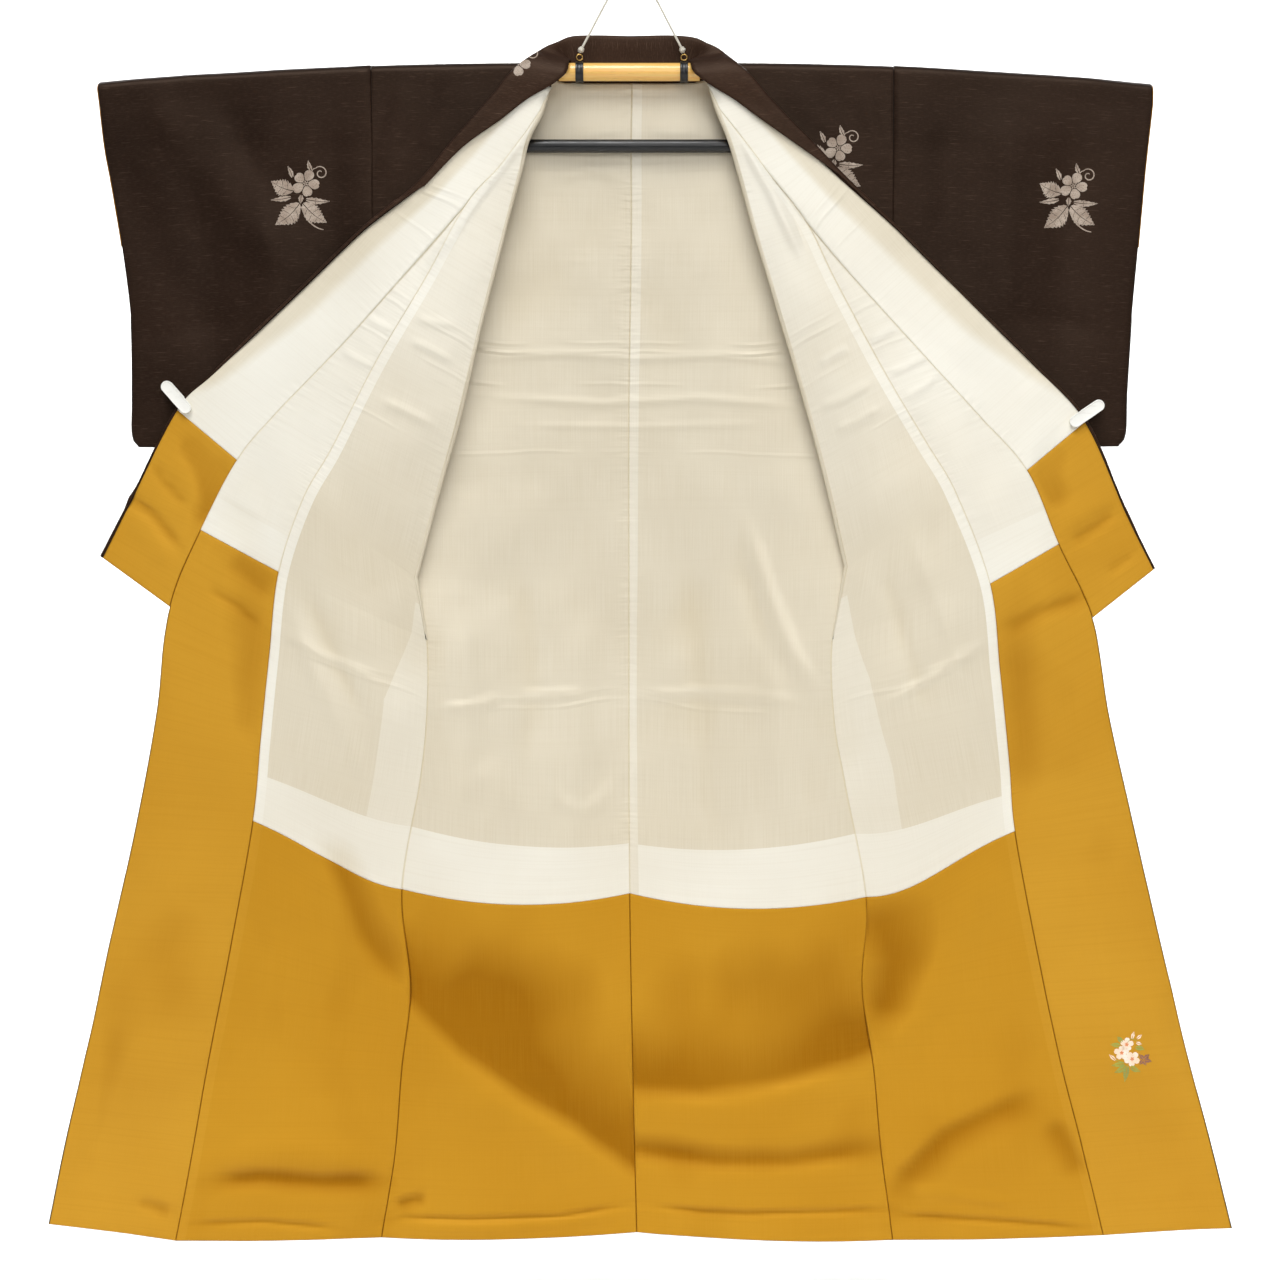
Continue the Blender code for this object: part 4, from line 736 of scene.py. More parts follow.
# Creases and soft folds, placed by where they show in the picture's 1280 x 1280 points:
# region, half width in points, height in mm towards the lining's side, then the line
creases = (
    # back, between the fronts
    ("back", (2.6, 3.6), 1.3, ((476, 358), (560, 353), (640, 358), (716, 355), (802, 363))),
    ("back", (2.6, 4.0), 1.5, ((498, 397), (600, 403), (698, 398), (792, 405))),
    ("back", 2.8, 0.8, ((515, 425), (640, 427), (762, 424))),
    ("back", (2.4, 6.0), 2.6, ((446, 706), (474, 704), (500, 698))),
    ("back", (2.4, 5.0), 2.4, ((517, 697), (548, 694), (582, 691))),
    ("back", (2.4, 6.0), 2.6, ((637, 695), (700, 691), (758, 695), (800, 700))),
    ("back", 6.0, 1.6, ((548, 776), (560, 803), (584, 812), (606, 796), (612, 776))),
    ("back", 4.0, 1.5, ((578, 141), (600, 132), (626, 128))),
    ("back", 4.0, 1.3, ((648, 127), (672, 133), (700, 130))),
    ("back", 5.0, 1.2, ((556, 178), (590, 170), (622, 176))),
    ("back", 14.0, 2.6, ((462, 600), (470, 720), (455, 860))),
    ("back", 14.0, -2.2, ((520, 560), (534, 690), (522, 830))),
    ("back", 16.0, 2.4, ((585, 600), (580, 740), (566, 880))),
    ("back", 15.0, -2.4, ((690, 560), (700, 700), (716, 860))),
    ("back", 15.0, 2.6, ((770, 600), (775, 740), (795, 860))),
    # mustard: long drape from the left front across the back, then what hangs below it
    ("both", (24.0, 11.0), -3.4, ((318, 832), (344, 876), (366, 934), (396, 976), (410, 992))),
    ("backLeft", (54.0, 12.0), -4.8, ((340, 930), (404, 986), (440, 1020), (476, 1050), (530, 1088),
                                      (580, 1120), (637, 1162), (720, 1210))),
    ("backLeft", (9.0, 24.0), 2.4, ((425, 1042), (480, 1092), (540, 1130), (600, 1166))),
    ("both", (9.0, 11.0), -5.0, ((204, 1181), (262, 1177), (322, 1182), (392, 1181))),
    ("both", 12.0, 1.8, ((212, 1158), (280, 1150), (380, 1160))),
    ("turned", 8.0, -2.4, ((134, 1202), (152, 1206), (172, 1213))),
    ("back", (5.0, 9.0), -3.4, ((396, 1206), (410, 1200), (428, 1197))),
    ("backRight", (50.0, 12.0), -4.0, ((560, 1070), (648, 1084), (700, 1086), (785, 1074), (862, 1048),
                                       (930, 1010))),
    ("backRight", (8.0, 22.0), 2.0, ((660, 1106), (730, 1110), (850, 1078))),
    ("backRight", (13.0, 9.0), -4.2, ((580, 1140), (654, 1152), (716, 1161), (790, 1161), (862, 1151),
                                      (900, 1146))),
    ("backRight", 44.0, -2.6, ((700, 985), (780, 985), (855, 975))),
    ("backLeft", 46.0, -2.6, ((440, 975), (520, 1000), (610, 1020))),
    ("turned", (20.0, 10.0), -5.4, ((1040, 1094), (990, 1114), (946, 1136), (908, 1172), (888, 1204))),
    ("turned", (9.0, 24.0), 1.6, ((888, 1198), (908, 1162), (948, 1128), (990, 1110), (1034, 1096))),
    ("turned", (46.0, 22.0), -4.2, ((872, 895), (898, 960), (884, 1034))),
    ("turned", 20.0, 2.4, ((1000, 850), (964, 930), (920, 1010), (890, 1050))),
    ("turned", (9.0, 15.0), -3.0, ((1050, 1118), (1070, 1150), (1083, 1178))),
    ("turned", 26.0, -1.2, ((232, 480), (242, 560), (236, 620))),
    ("turned", 26.0, -1.2, ((1030, 500), (1020, 600), (1030, 700))),
    ("turned", (2.6, 6.0), -2.6, ((206, 584), (236, 603), (268, 630))),
    ("turned", (18.0, 8.0), -2.6, ((226, 560), (250, 577), (272, 597))),
    ("turned", 18.0, 1.8, ((290, 880), (306, 960), (300, 1060))),
    ("both", (2.6, 4.0), -2.6, ((380, 1222), (404, 1217), (470, 1219), (560, 1216), (639, 1203))),
    ("both", (8.0, 5.0), 1.2, ((390, 1229), (500, 1228), (632, 1214))),
    ("both", (2.6, 4.0), -2.4, ((640, 1204), (700, 1211), (749, 1213), (830, 1211), (900, 1208))),
    ("turned", (2.6, 4.0), -2.2, ((884, 1214), (960, 1218), (1020, 1222), (1094, 1228))),
    ("turned", 5.0, 1.6, ((900, 1186), (960, 1196), (1020, 1204))),
    ("turned", (2.6, 4.0), -2.2, ((186, 1224), (262, 1221), (344, 1228))),
    ("back", (5.0, 11.0), 2.8, ((748, 520), (772, 596), (794, 650), (818, 688))),
    ("back", 13.0, -2.2, ((738, 560), (760, 624), (790, 684))),
    ("back", 22.0, 3.2, ((470, 760), (500, 808), (470, 850))),
    # turned fronts
    ("turned", 5.5, 3.0, ((740, 135), (770, 190), (804, 262))),
    ("turned", 5.0, -2.0, ((752, 140), (784, 192), (818, 256))),
    ("turned", 5.5, 3.0, ((528, 130), (478, 196), (428, 268))),
    ("turned", 5.0, -2.0, ((514, 138), (464, 198), (414, 264))),
    ("turned", 3.5, 1.4, ((417, 318), (436, 323), (456, 327))),
    ("turned", 3.5, 1.5, ((410, 341), (428, 348), (452, 361))),
    ("turned", 4.0, 1.7, ((381, 401), (404, 410), (432, 424))),
    ("turned", 4.5, 1.8, ((273, 630), (296, 640), (320, 655), (380, 681))),
    ("turned", 9.0, 2.4, ((286, 598), (312, 668), (347, 740), (372, 786), (392, 815))),
    ("turned", 9.0, -1.8, ((306, 590), (336, 664), (372, 730))),
    ("turned", 4.0, 1.5, ((818, 366), (834, 354), (851, 346))),
    ("turned", 4.0, 1.6, ((818, 409), (846, 398), (873, 382))),
    ("turned", 4.0, 1.4, ((833, 431), (856, 422), (881, 407))),
    ("turned", 4.5, 1.9, ((877, 709), (914, 688), (953, 664), (994, 638))),
    ("turned", 9.0, -1.6, ((880, 560), (905, 640), (930, 720))),
    ("turned", 9.0, 2.0, ((905, 520), (940, 610), (972, 700), (990, 780))),
    ("turned", 3.0, 1.3, ((367, 318), (379, 325), (392, 331))),
    ("turned", 3.0, 1.3, ((341, 350), (356, 359), (373, 367))),
    ("turned", 3.5, 1.3, ((250, 618), (258, 623), (267, 629))),
    ("turned", 3.0, 1.3, ((869, 343), (882, 335), (896, 326))),
    ("turned", 3.0, 1.4, ((888, 374), (908, 366), (928, 355))),
    ("turned", 3.0, 1.3, ((903, 399), (920, 389), (938, 376))),
    ("turned", 4.5, 1.6, ((996, 636), (1028, 612), (1061, 596))),
    ("turned", 3.0, 1.2, ((764, 184), (776, 190), (783, 198))),
    ("turned", 3.0, 1.2, ((776, 200), (788, 206), (797, 216))),
    ("turned", 3.0, 1.1, ((480, 166), (487, 172), (493, 180))),
    ("turned", 3.0, 1.1, ((545, 206), (553, 200), (561, 196))),
    ("turned", 14.0, 1.4, ((1092, 880), (1106, 1000), (1128, 1110))),
    ("turned", 12.0, -1.2, ((120, 1010), (104, 1100), (88, 1190))),
    ("turned", 12.0, 1.2, ((1150, 960), (1172, 1060), (1190, 1160))),
    # collar
    ("collar", (14.0, 10.0), -4.6, ((180, 436), (200, 466), (212, 500))),
    ("collar", (4.0, 8.0), -3.4, ((126, 494), (152, 512), (182, 548))),
    ("collar", (13.0, 9.0), -4.2, ((226, 456), (210, 492), (196, 532))),
    ("collar", 10.0, 2.4, ((132, 516), (150, 536), (170, 566))),
    ("collar", (4.0, 7.0), -3.0, ((150, 462), (168, 484), (190, 506))),
    ("collar", (16.0, 9.0), -4.4, ((1052, 440), (1046, 476), (1062, 512))),
    ("collar", (5.0, 9.0), -3.4, ((1116, 510), (1100, 525), (1070, 545))),
    ("collar", 9.0, 2.6, ((1108, 494), (1092, 509), (1066, 526))),
    ("collar", (4.0, 7.0), -2.6, ((1136, 554), (1124, 562), (1108, 574))),
    ("turned", (5.0, 9.0), -3.6, ((996, 632), (1040, 608), (1092, 594))),
    ("turned", 18.0, -2.2, ((1014, 636), (1022, 720), (1030, 800))),
    ("turned", 20.0, -2.6, ((246, 590), (250, 660), (240, 750))),
    ("turned", 12.0, 2.6, ((168, 620), (172, 700), (160, 800))),
    ("turned", 14.0, 2.6, ((1096, 640), (1104, 730), (1118, 830))),
    ("collar", 3.0, 0.8, ((530, 68), (536, 92))),
    ("collar", 3.0, 0.8, ((738, 80), (735, 99))),
    ("collar", 15.0, 2.2, ((500, 160), (430, 240), (350, 320), (262, 392))),
    ("collar", 12.0, -1.4, ((450, 140), (380, 210), (300, 285), (215, 360))),
    ("collar", 15.0, 2.2, ((772, 170), (850, 250), (940, 325), (1030, 396))),
    ("collar", 12.0, -1.4, ((830, 150), (910, 225), (980, 290), (1056, 360))),
    # outer silk below the shoulders, beside the collar
    ("hidden", 9.0, -1.6, ((470, 84), (452, 120), (420, 150))),
    ("hidden", 8.0, 1.6, ((440, 76), (424, 118), (396, 160))),
    ("hidden", 9.0, -1.6, ((404, 76), (396, 130), (384, 176))),
    ("hidden", 9.0, -1.6, ((786, 80), (810, 110), (846, 140))),
    ("hidden", 8.0, 1.6, ((820, 78), (842, 110), (872, 148))),
    ("hidden", 9.0, -1.6, ((866, 78), (872, 130), (884, 176))),
    # sleeves, the same on both of their faces
    ("sleeve", 20.0, 2.6, ((140, 84), (186, 150), (232, 214), (300, 276))),
    ("sleeve", (26.0, 18.0), -2.8, ((206, 84), (250, 150), (300, 220))),
    ("sleeve", 26.0, -2.4, ((110, 150), (150, 250), (210, 340))),
    ("sleeve", 22.0, -2.4, ((190, 110), (204, 240), (214, 410))),
    ("sleeve", 20.0, 2.2, ((262, 100), (270, 260), (268, 420))),
    ("sleeve", 18.0, -2.0, ((330, 110), (334, 240), (320, 330))),
    ("sleeve", 9.0, -1.4, ((136, 352), (180, 330), (240, 318))),
    ("sleeve", 22.0, -2.4, ((1080, 110), (1066, 240), (1062, 410))),
    ("sleeve", 20.0, 2.2, ((1010, 110), (1006, 240), (1004, 330))),
    ("sleeve", 18.0, -2.0, ((948, 110), (948, 220), (960, 290))),
    ("sleeve", 9.0, -1.4, ((1112, 340), (1070, 322), (1020, 314))),
)
picturePlan = {  # mm to a point in the garment's plane, the picture's middle, the camera's distance
    "scale": 1.27, "middle": 640, "x": 10.16, "drop": 861.0, "away": 4000.0,
}
creasePlan = {  # how much of their heights creases have, how they fade at their ends, and the trough depth in mm that takes the full painted shade
    "lower": 1.8, "upper": 1.1, "lowerFrom": 820, "sleeve": 1.7, "fade": 0.22, "least": 0.2, "paintedShadeFullAt": 9.0,
}
wavePlan = {  # soft waves that never repeat: lengths and heights in mm, and what the regions take of them
    "seed": 11, "lengths": (310, 190, 120, 74, 47), "heights": (0.9, 0.8, 0.55, 0.34, 0.2),
    "calm": ("collar", "sleeve", "hidden", "fold"), "calmShare": 0.45, "share": 0.8,
}


def pictureSpots(points):
    perPoint = picturePlan["scale"] * (1 + points[..., 1] / picturePlan["away"])
    across = picturePlan["middle"] + (points[..., 0] - picturePlan["x"]) / perPoint
    below = picturePlan["middle"] + (-points[..., 2] - picturePlan["drop"]) / perPoint
    return np.stack((across, below), axis=-1)


# A width may be two: the side left of the line as it runs, then the other
def creaseHeight(spots, line, width, height):
    line = np.array(line, dtype=float)
    leftWidth, rightWidth = width if isinstance(width, tuple) else (width, width)
    near = np.full(spots.shape[:-1], 1e9)
    share, wide = np.zeros(spots.shape[:-1]), np.zeros(spots.shape[:-1])
    lengths = np.linalg.norm(np.diff(line, axis=0), axis=1)
    for k, (a, b) in enumerate(zip(line, line[1:])):
        along = b - a
        t = np.clip(((spots - a) @ along) / max(lengths[k] ** 2, 1e-9), 0, 1)
        away = spots - (a + t[..., None] * along)
        far = np.linalg.norm(away, axis=-1)
        turned = (along[0] * away[..., 1] - along[1] * away[..., 0]) / lengths[k]
        closer = far < near
        near = np.where(closer, far, near)
        share = np.where(closer, (lengths[:k].sum() + t * lengths[k]) / lengths.sum(), share)
        wide = np.where(closer, np.where(turned < 0, leftWidth, rightWidth), wide)
    fade = eased(np.clip(np.minimum(share, 1 - share) / creasePlan["fade"], 0, 1))
    fade = creasePlan["least"] + (1 - creasePlan["least"]) * fade
    return height * fade * np.exp(-((near / wide) ** 2))


def waves(points):
    draw = random.Random(wavePlan["seed"])
    total = np.zeros(points.shape[:-1])
    for length, height in zip(wavePlan["lengths"], wavePlan["heights"]):
        for _ in range(3):
            turn = draw.uniform(0, math.pi)
            phase = draw.uniform(0, 2 * math.pi)
            run = points[..., 0] * math.cos(turn) + points[..., 2] * math.sin(turn) * 0.7
            own = length * draw.uniform(0.85, 1.2)
            total += height * 0.6 * np.sin(2 * math.pi * run / own + phase)
    return total


# creases and waves of one block, calmed towards its seams and where other cloth lies close
def regionHeights(block):
    region, points = block["region"], block["points"]
    if region == "top":
        return np.zeros(points.shape[:2])
    height = waves(points) * wavePlan["calmShare" if region in wavePlan["calm"] else "share"]
    spots = pictureSpots(points)
    places = [region, region + ("Left" if block["flip"] else "Right")]
    places += ["both"] * (region in ("back", "turned"))
    for place, width, rise, line in creases:
        if place in places:
            scale = creasePlan["lower" if line[0][1] > creasePlan["lowerFrom"] else "upper"]
            height += creaseHeight(spots, line, width, rise * scale)
    reach = np.interp(block["weave"][..., 1] / mm, wayDown, wayLevels)
    if region == "sleeve":
        height *= np.clip((np.abs(points[..., 1]) - 1.0) / 8.0, 0, 1)
        height = -height * creasePlan["sleeve"]
    if region in ("hidden", "fold"):
        height = np.clip(height * np.clip((8.6 - reach) / 1.2, 0, 1), -1.3, 1.3)
    if region == "collar":
        share = np.linspace(0, 1, points.shape[1])[None, :]
        sections = block["sections"][:, None]
        calm = np.where(sections < 4.4, np.clip((0.44 - share) / 0.1, 0, 1), 1.0)
        height *= calm * np.clip((sections - 1.6) / 0.8, 0, 1)
        height = np.clip(height, -1.2 - 3.4 * np.clip((sections - 8) / 0.7, 0, 1), 2.0)
    if region == "turned":
        height = np.where(reach < 8.5, np.clip(height, -1.4, 3.5), height)
        height = height * np.clip((reach - 1.6) / 0.8, 0, 1)
    if region == "back":
        height *= np.clip((reach - 0.9) / 0.8, 0, 1)
    return height


def creased(points):
    total, count = np.zeros(len(points)), np.zeros(len(points))
    for block in blocks.values():
        np.add.at(total, block["slots"], regionHeights(block))
        np.add.at(count, block["slots"], 1)
    return points + normals * (total / np.maximum(count, 1))[:, None]


flat = surface
surface = creased(surface)
# how deep each point lies in a fold: painted shade, darkening the silk's colour in its troughs
paintedShade = np.clip(((flat - surface) * normals).sum(axis=1) / creasePlan["paintedShadeFullAt"], 0, 1)
# painted shade on the outer half of the collar's lining, which is turned from the light
for side in halves:
    block = blocks["collar_" + side]
    share = np.arange(block["points"].shape[1])[None, :] / sewnSteps
    reach = block["sections"][:, None]
    turnedAwayShade = eased(np.clip((share - np.interp(reach, (2, 6, 8), (0.5, 0.6, 0.9))) / 0.16, 0, 1))
    turnedAwayShade = turnedAwayShade * np.clip((7.9 - reach) / 0.8, 0, 1)
    np.maximum.at(paintedShade, block["slots"], 0.75 * turnedAwayShade)
normals = pointNormals(surface)
print("stage: creases")


# Closed walls on the surface: outer cloth behind it, linings in front
def openBorder(loops):
    edges = {edge: True for loop in loops for edge in zip(loop, loop[1:] + loop[:1])}
    return [(a, b) for a, b in edges if (b, a) not in edges]


# moves of the border's points into the piece, by half a seam gap or an edge's own set-back
def borderMoves(border, setBack, gap):
    pushes = {}
    for a, b in border:
        along = surface[b] - surface[a]
        inward = np.cross(normals[a] + normals[b], along)
        length = np.linalg.norm(inward)
        if length < 1e-9:
            continue
        distance = setBack[a] if a in setBack and b in setBack else gap
        pushes.setdefault(a, []).append((inward / length, distance))
        pushes.setdefault(b, []).append((inward / length, distance))
    moves = {}
    for corner, pair in pushes.items():
        (first, d1), (second, d2) = pair[0], pair[-1]
        c = float(np.clip(first @ second, -0.97, 1.0))
        if len(pair) < 2 or c > 0.98:
            moves[corner] = unit(first + second) * max(d1, d2, key=abs)
        else:
            moves[corner] = (first * (d1 - c * d2) + second * (d2 - c * d1)) / (1 - c * c)
    return moves


sheetSurfaces = {}
seamLaps = {"outer": -0.2, "lining": -0.12, "hem": 0.2, "mouth": 0.2}  # plus leaves a fine dark line


def wall(name, parts, near, far, setBack=None):
    loops, spots, doubledAndSheen, beside = [], [], [], {}
    for blockName, rows, cols in parts:
        block = blocks[blockName]
        slots = block["slots"][rows, cols]
        weave = block["weave"][rows, cols]
        marks = block["doubledAndSheen"][rows, cols][: slots.shape[0] - 1, : slots.shape[1] - 1]
        closeness = block["beside"][rows, cols]
        for slot, share in zip(slots.reshape(-1).tolist(), closeness.reshape(-1).tolist()):
            beside[slot] = min(share, beside.get(slot, 1.0))
        for r in range(slots.shape[0] - 1):
            for c in range(slots.shape[1] - 1):
                corners = [(r, c), (r + 1, c), (r + 1, c + 1), (r, c + 1)]
                if block["flip"]:
                    corners.reverse()
                loop, places = [], []
                for corner in corners:
                    slot = int(slots[corner])
                    if slot not in loop:
                        loop.append(slot)
                        places.append(tuple(weave[corner]))
                if len(loop) >= 3:
                    loops.append(loop)
                    spots.append(places)
                    doubledAndSheen.append(float(marks[r, c]))
    border = openBorder(loops)
    moves = borderMoves(border, setBack or {}, seamLaps[name.split("_")[1]])
    used = sorted({slot for loop in loops for slot in loop})
    local = {slot: k for k, slot in enumerate(used)}
    base = surface[used].copy()
    for slot, move in moves.items():
        base[local[slot]] += move
    rim = np.ones(len(used))
    rim[[local[slot] for slot in moves]] = 0.9 if "silk_lining" in name else 0.5
    seen = base + normals[used] * (near + (far - near) * rim)[:, None]
    back = base + normals[used] * near
    top, bottom = (seen, back) if far > near else (back, seen)
    count = len(used)
    faces = [[local[slot] for slot in loop] for loop in loops]
    turnedFaces = [[k + count for k in face[::-1]] for face in faces]
    made = faces + turnedFaces
    places = spots + [place[::-1] for place in spots]
    marks = doubledAndSheen + doubledAndSheen
    known = {slot: place for loop, own in zip(loops, spots) for slot, place in zip(loop, own)}
    for a, b in border:
        made.append([local[b], local[a], local[a] + count, local[b] + count])
        places.append([known[b], known[a], known[a], known[b]])
        marks.append(0.4)
    piece = meshObject(name, np.concatenate((top, bottom)) * mm, made)
    mesh = piece.data
    uv = [v for face in places for spot in face for v in spot]
    mesh.uv_layers.new(name="weave").data.foreach_set("uv", uv)
    closeness, paintedShades = [beside[slot] for slot in used], paintedShade[used].tolist()
    mesh.attributes.new("doubledAndSheen", "FLOAT", "FACE").data.foreach_set("value", marks)
    mesh.attributes.new("beside", "FLOAT", "POINT").data.foreach_set("value", closeness * 2)
    mesh.attributes.new("paintedShade", "FLOAT", "POINT").data.foreach_set("value", paintedShades * 2)
    sheetSurfaces[name] = (piece, faces if far > near else turnedFaces)
    return piece


# Rows of a body block whose sections run from low to high
def between(low, high, start=0.5):
    rows = np.concatenate((topLevels, levels)) if start < 1 else levels[levels >= start]
    kept = np.nonzero((rows >= low - 1e-9) & (rows <= high + 1e-9))[0]
    return slice(int(kept[0]), int(kept[-1]) + 1)


def span(kept):
    return slice(kept[0], kept[-1] + 1)


everything = slice(None)
outer, lining = (-0.15, -1.35), (0.15, 1.15)
garment = {}


def buildWalls(side):
    def panel(node, name, parts, faces, setBack=None):
        parts = [(f"{block}_{side}", rows, cols) for block, rows, cols in parts]
        garment[f"{node}_{side}"] = wall(f"silk_{name}_{side}", parts, *faces, setBack)

    def whole(*names):
        return [(name, everything, everything) for name in names]

    back, overlap = blocks["back_" + side]["slots"], blocks["overlap_" + side]["slots"]
    collar, sleeve = blocks["collar_" + side], blocks["sleeve_" + side]
    panel("outer_back", "outer_back", whole("back", "shoulder"), outer)
    panel("outer_front", "outer_front", whole("shoulder_front", "hidden", "fold", "turned"), outer)
    panel("outer_overlap", "outer_overlap", whole("overlap"), outer)
    panel("outer_sleeve", "outer_sleeve", whole("sleeve"), outer)
    inner = back.shape[1] - len(curls) + 1  # columns up to the side's curl
    panel("lining_back", "lining_back", [
        ("back", between(0.5, 8), slice(0, inner)), ("back", between(8, 9), slice(0, inner + 2)),
        ("back", between(9, 12), everything),
        ("shoulder", everything, slice(0, inner - neckColumns[side]))], lining)
    panel("hem_lining_back", "hem_back", [("back", between(12, 16), everything)], lining)
    past = slice(len(curls) - 1, None)
    panel("lining_front", "lining_front", [
        ("shoulder_front", everything, past), ("hidden", everything, past), *whole("fold"),
        ("turned", between(1.5, 12, 1.5), everything)], lining)
    panel("hem_lining_front", "hem_front", [("turned", between(12, 16, 1.5), everything)], lining)
    panel("lining_overlap", "lining_overlap", [("overlap", between(4, 9, 4), everything)], lining)
    free = {int(slot): 2.0 for slot in overlap[:, -1][levels[levels >= 4] >= 10]}
    panel("hem_lining_overlap", "hem_overlap", [("overlap", between(9, 16, 4), everything)], lining, free)
    sewn, sections = slice(0, sewnSteps + 1), collar["sections"]
    upper = span(np.nonzero((sections >= 1.0) & (sections <= 8))[0])
    lower = span(np.nonzero(sections >= 8)[0])
    panel("lining_collar", "lining_collar", [("collar", upper, sewn)], lining)
    panel("hem_lining_collar", "hem_collar", [("collar", lower, sewn)], lining)
    attached = span(np.nonzero(sleeve["sections"] <= 4)[0])
    mouth = slice(nearest(sleeveShares, mouthMark), None)
    rolled = {int(slot): -1.5 for slot in sleeve["slots"][:, -1]}
    panel("mouth_facing", "mouth_facing", [("sleeve", attached, mouth)], lining, rolled)


for side in halves:
    buildWalls(side)
collarParts = [("collar_left", everything, everything), ("collar_right", everything, everything)]
garment["outer_collar"] = wall("silk_outer_collar", collarParts, *outer)
triangles = sum(len(piece.data.loops) - 2 * len(piece.data.polygons) for piece in garment.values())
print("stage: walls,", triangles, "triangles")


# Materials: a value for a socket, or another node's output
def wire(tree, socket, value):
    if isinstance(value, bpy.types.NodeSocket):
        tree.links.new(value, socket)
    else:
        socket.default_value = value


def addNode(tree, kind, inputs=None, **settings):
    node = tree.nodes.new("ShaderNode" + kind)
    for key, value in settings.items():
        setattr(node, key, value)
    for key, value in (inputs or {}).items():
        wire(tree, node.inputs[key], value)
    return node


def setShader(tree, shader, **values):
    for key, value in values.items():
        wire(tree, shader.inputs[key.replace("_", " ")], value)


def newMaterial(name, **values):
    made = bpy.data.materials.new(name)
    made.use_nodes = True
    shader = made.node_tree.nodes["Principled BSDF"]
    setShader(made.node_tree, shader, **values)
    return made, made.node_tree, shader


def weaveSpot(tree):
    return addNode(tree, "UVMap", uv_map="weave").outputs[0]


def objectSpot(tree):
    return addNode(tree, "TexCoord").outputs["Object"]


def attribute(tree, name):
    return addNode(tree, "Attribute", attribute_name=name).outputs["Fac"]


def streaks(tree, vector, scale, detail=2.0, rough=0.5):
    spread = addNode(tree, "Mapping", {"Vector": vector, "Scale": scale}).outputs[0]
    noise = {"Vector": spread, "Scale": 1.0, "Detail": detail, "Roughness": rough}
    return addNode(tree, "TexNoise", noise).outputs["Fac"]


def ramp(tree, value, low, high, start=0.0, stop=1.0):
    reach = {"Value": value, "From Min": low, "From Max": high, "To Min": start, "To Max": stop}
    return addNode(tree, "MapRange", reach).outputs[0]


def blend(tree, share, a, b):
    return addNode(tree, "Mix", {0: share, 6: a, 7: b}, data_type="RGBA").outputs[2]


def sums(tree, kind, a, b):
    return addNode(tree, "Math", {0: a, 1: b}, operation=kind).outputs[0]


# Colours over one another: texture, the values where its colour starts and is full, share, colour
def layered(tree, tone, *layers):
    for value, low, high, share, over in layers:
        tone = blend(tree, ramp(tree, value, low, high, 0.0, share), tone, over)
    return tone


# Bumps over one another: strength, distance in metres, texture
def bumped(tree, *layers):
    below = {}
    for strength, distance, height in layers:
        bump = addNode(tree, "Bump", {"Strength": strength, "Distance": distance, "Height": height, **below})
        below = {"Normal": bump.outputs[0]}
    return below["Normal"]


# thin pressed lines where the garment lay folded, at these distances down the cloth
def storedFolds(tree, weave, folds):
    sway = streaks(tree, weave, (4.0, 2.0, 1.0))
    down = addNode(tree, "SeparateXYZ", {"Vector": weave}).outputs["Y"]
    place = sums(tree, "ADD", down, sums(tree, "MULTIPLY", sums(tree, "SUBTRACT", sway, 0.5), 0.05))
    lines = addNode(tree, "ValToRGB", {"Fac": place})
    stops = lines.color_ramp.elements
    for stop, position in zip(stops, (0.0, 1.0)):
        stop.position, stop.color = position, (0, 0, 0, 1)
    for at, height in folds:
        for reach, tone in ((-0.0022, 0.0), (0.0, height), (0.0022, 0.0)):
            stops.new(at + reach).color = (tone, tone, tone, 1)
    broken = ramp(tree, streaks(tree, weave, (7.0, 9.0, 1.0), 1.0), 0.42, 0.6)
    return sums(tree, "MULTIPLY", lines.outputs["Color"], broken)


# satin silk: long warp threads, faint weft bars, brighter where a second layer lies behind and where painted sheen
# is marked, darker by painted shade in fold troughs
def satinSilk(name, plan):
    made, tree, shader = newMaterial(name, Roughness=plan["roughness"], Anisotropic=0.55)
    weave, place = weaveSpot(tree), objectSpot(tree)
    doubledAndSheen, beside, paintedShade = (attribute(tree, kind) for kind in ("doubledAndSheen", "beside", "paintedShade"))
    warp = streaks(tree, weave, (1500.0, 14.0, 1.0), 1.0)
    bars = streaks(tree, weave, (5.0, 420.0, 1.0), 1.0)
    clouds = streaks(tree, place, (5.0, 5.0, 5.0), 1.0)
    tone = layered(
        tree, blend(tree, doubledAndSheen, plan["single"], plan["doubleAndSheen"]),
        (paintedShade, 0.06, 0.9, plan["depth"], plan["deep"]),
        (clouds, 0.3, 0.7, plan["clouds"], plan["shade"]),
        (bars, 0.45, 0.75, plan["bars"], plan["shade"]),
        (warp, 0.35, 0.65, plan["threads"], plan["light"]),
        (beside, 0.88, 1.0, plan["seamShare"], plan["seam"]))
    pucker = sums(tree, "MULTIPLY", streaks(tree, weave, (26.0, 150.0, 1.0), 1.0), beside)
    if plan["folds"]:
        pucker = sums(tree, "ADD", pucker, storedFolds(tree, weave, plan["folds"]))
    wrinkle = streaks(tree, place, (16.0, 16.0, 24.0))
    threads = sums(tree, "ADD", warp, sums(tree, "MULTIPLY", bars, 0.8))
    setShader(
        tree, shader, Base_Color=tone,
        Roughness=ramp(tree, bars, 0.3, 0.7, plan["roughness"] - 0.05, plan["roughness"] + 0.07),
        Tangent=addNode(tree, "Tangent", direction_type="UV_MAP", uv_map="weave").outputs[0],
        Sheen_Weight=plan["sheen"], Sheen_Roughness=0.45, Sheen_Tint=plan["light"],
        Specular_IOR_Level=plan["gloss"], Specular_Tint=plan["light"],
        Normal=bumped(tree, (1.0, 0.0011, pucker), (0.6, 0.0012, wrinkle), (0.5, 0.00012, threads)))
    return made
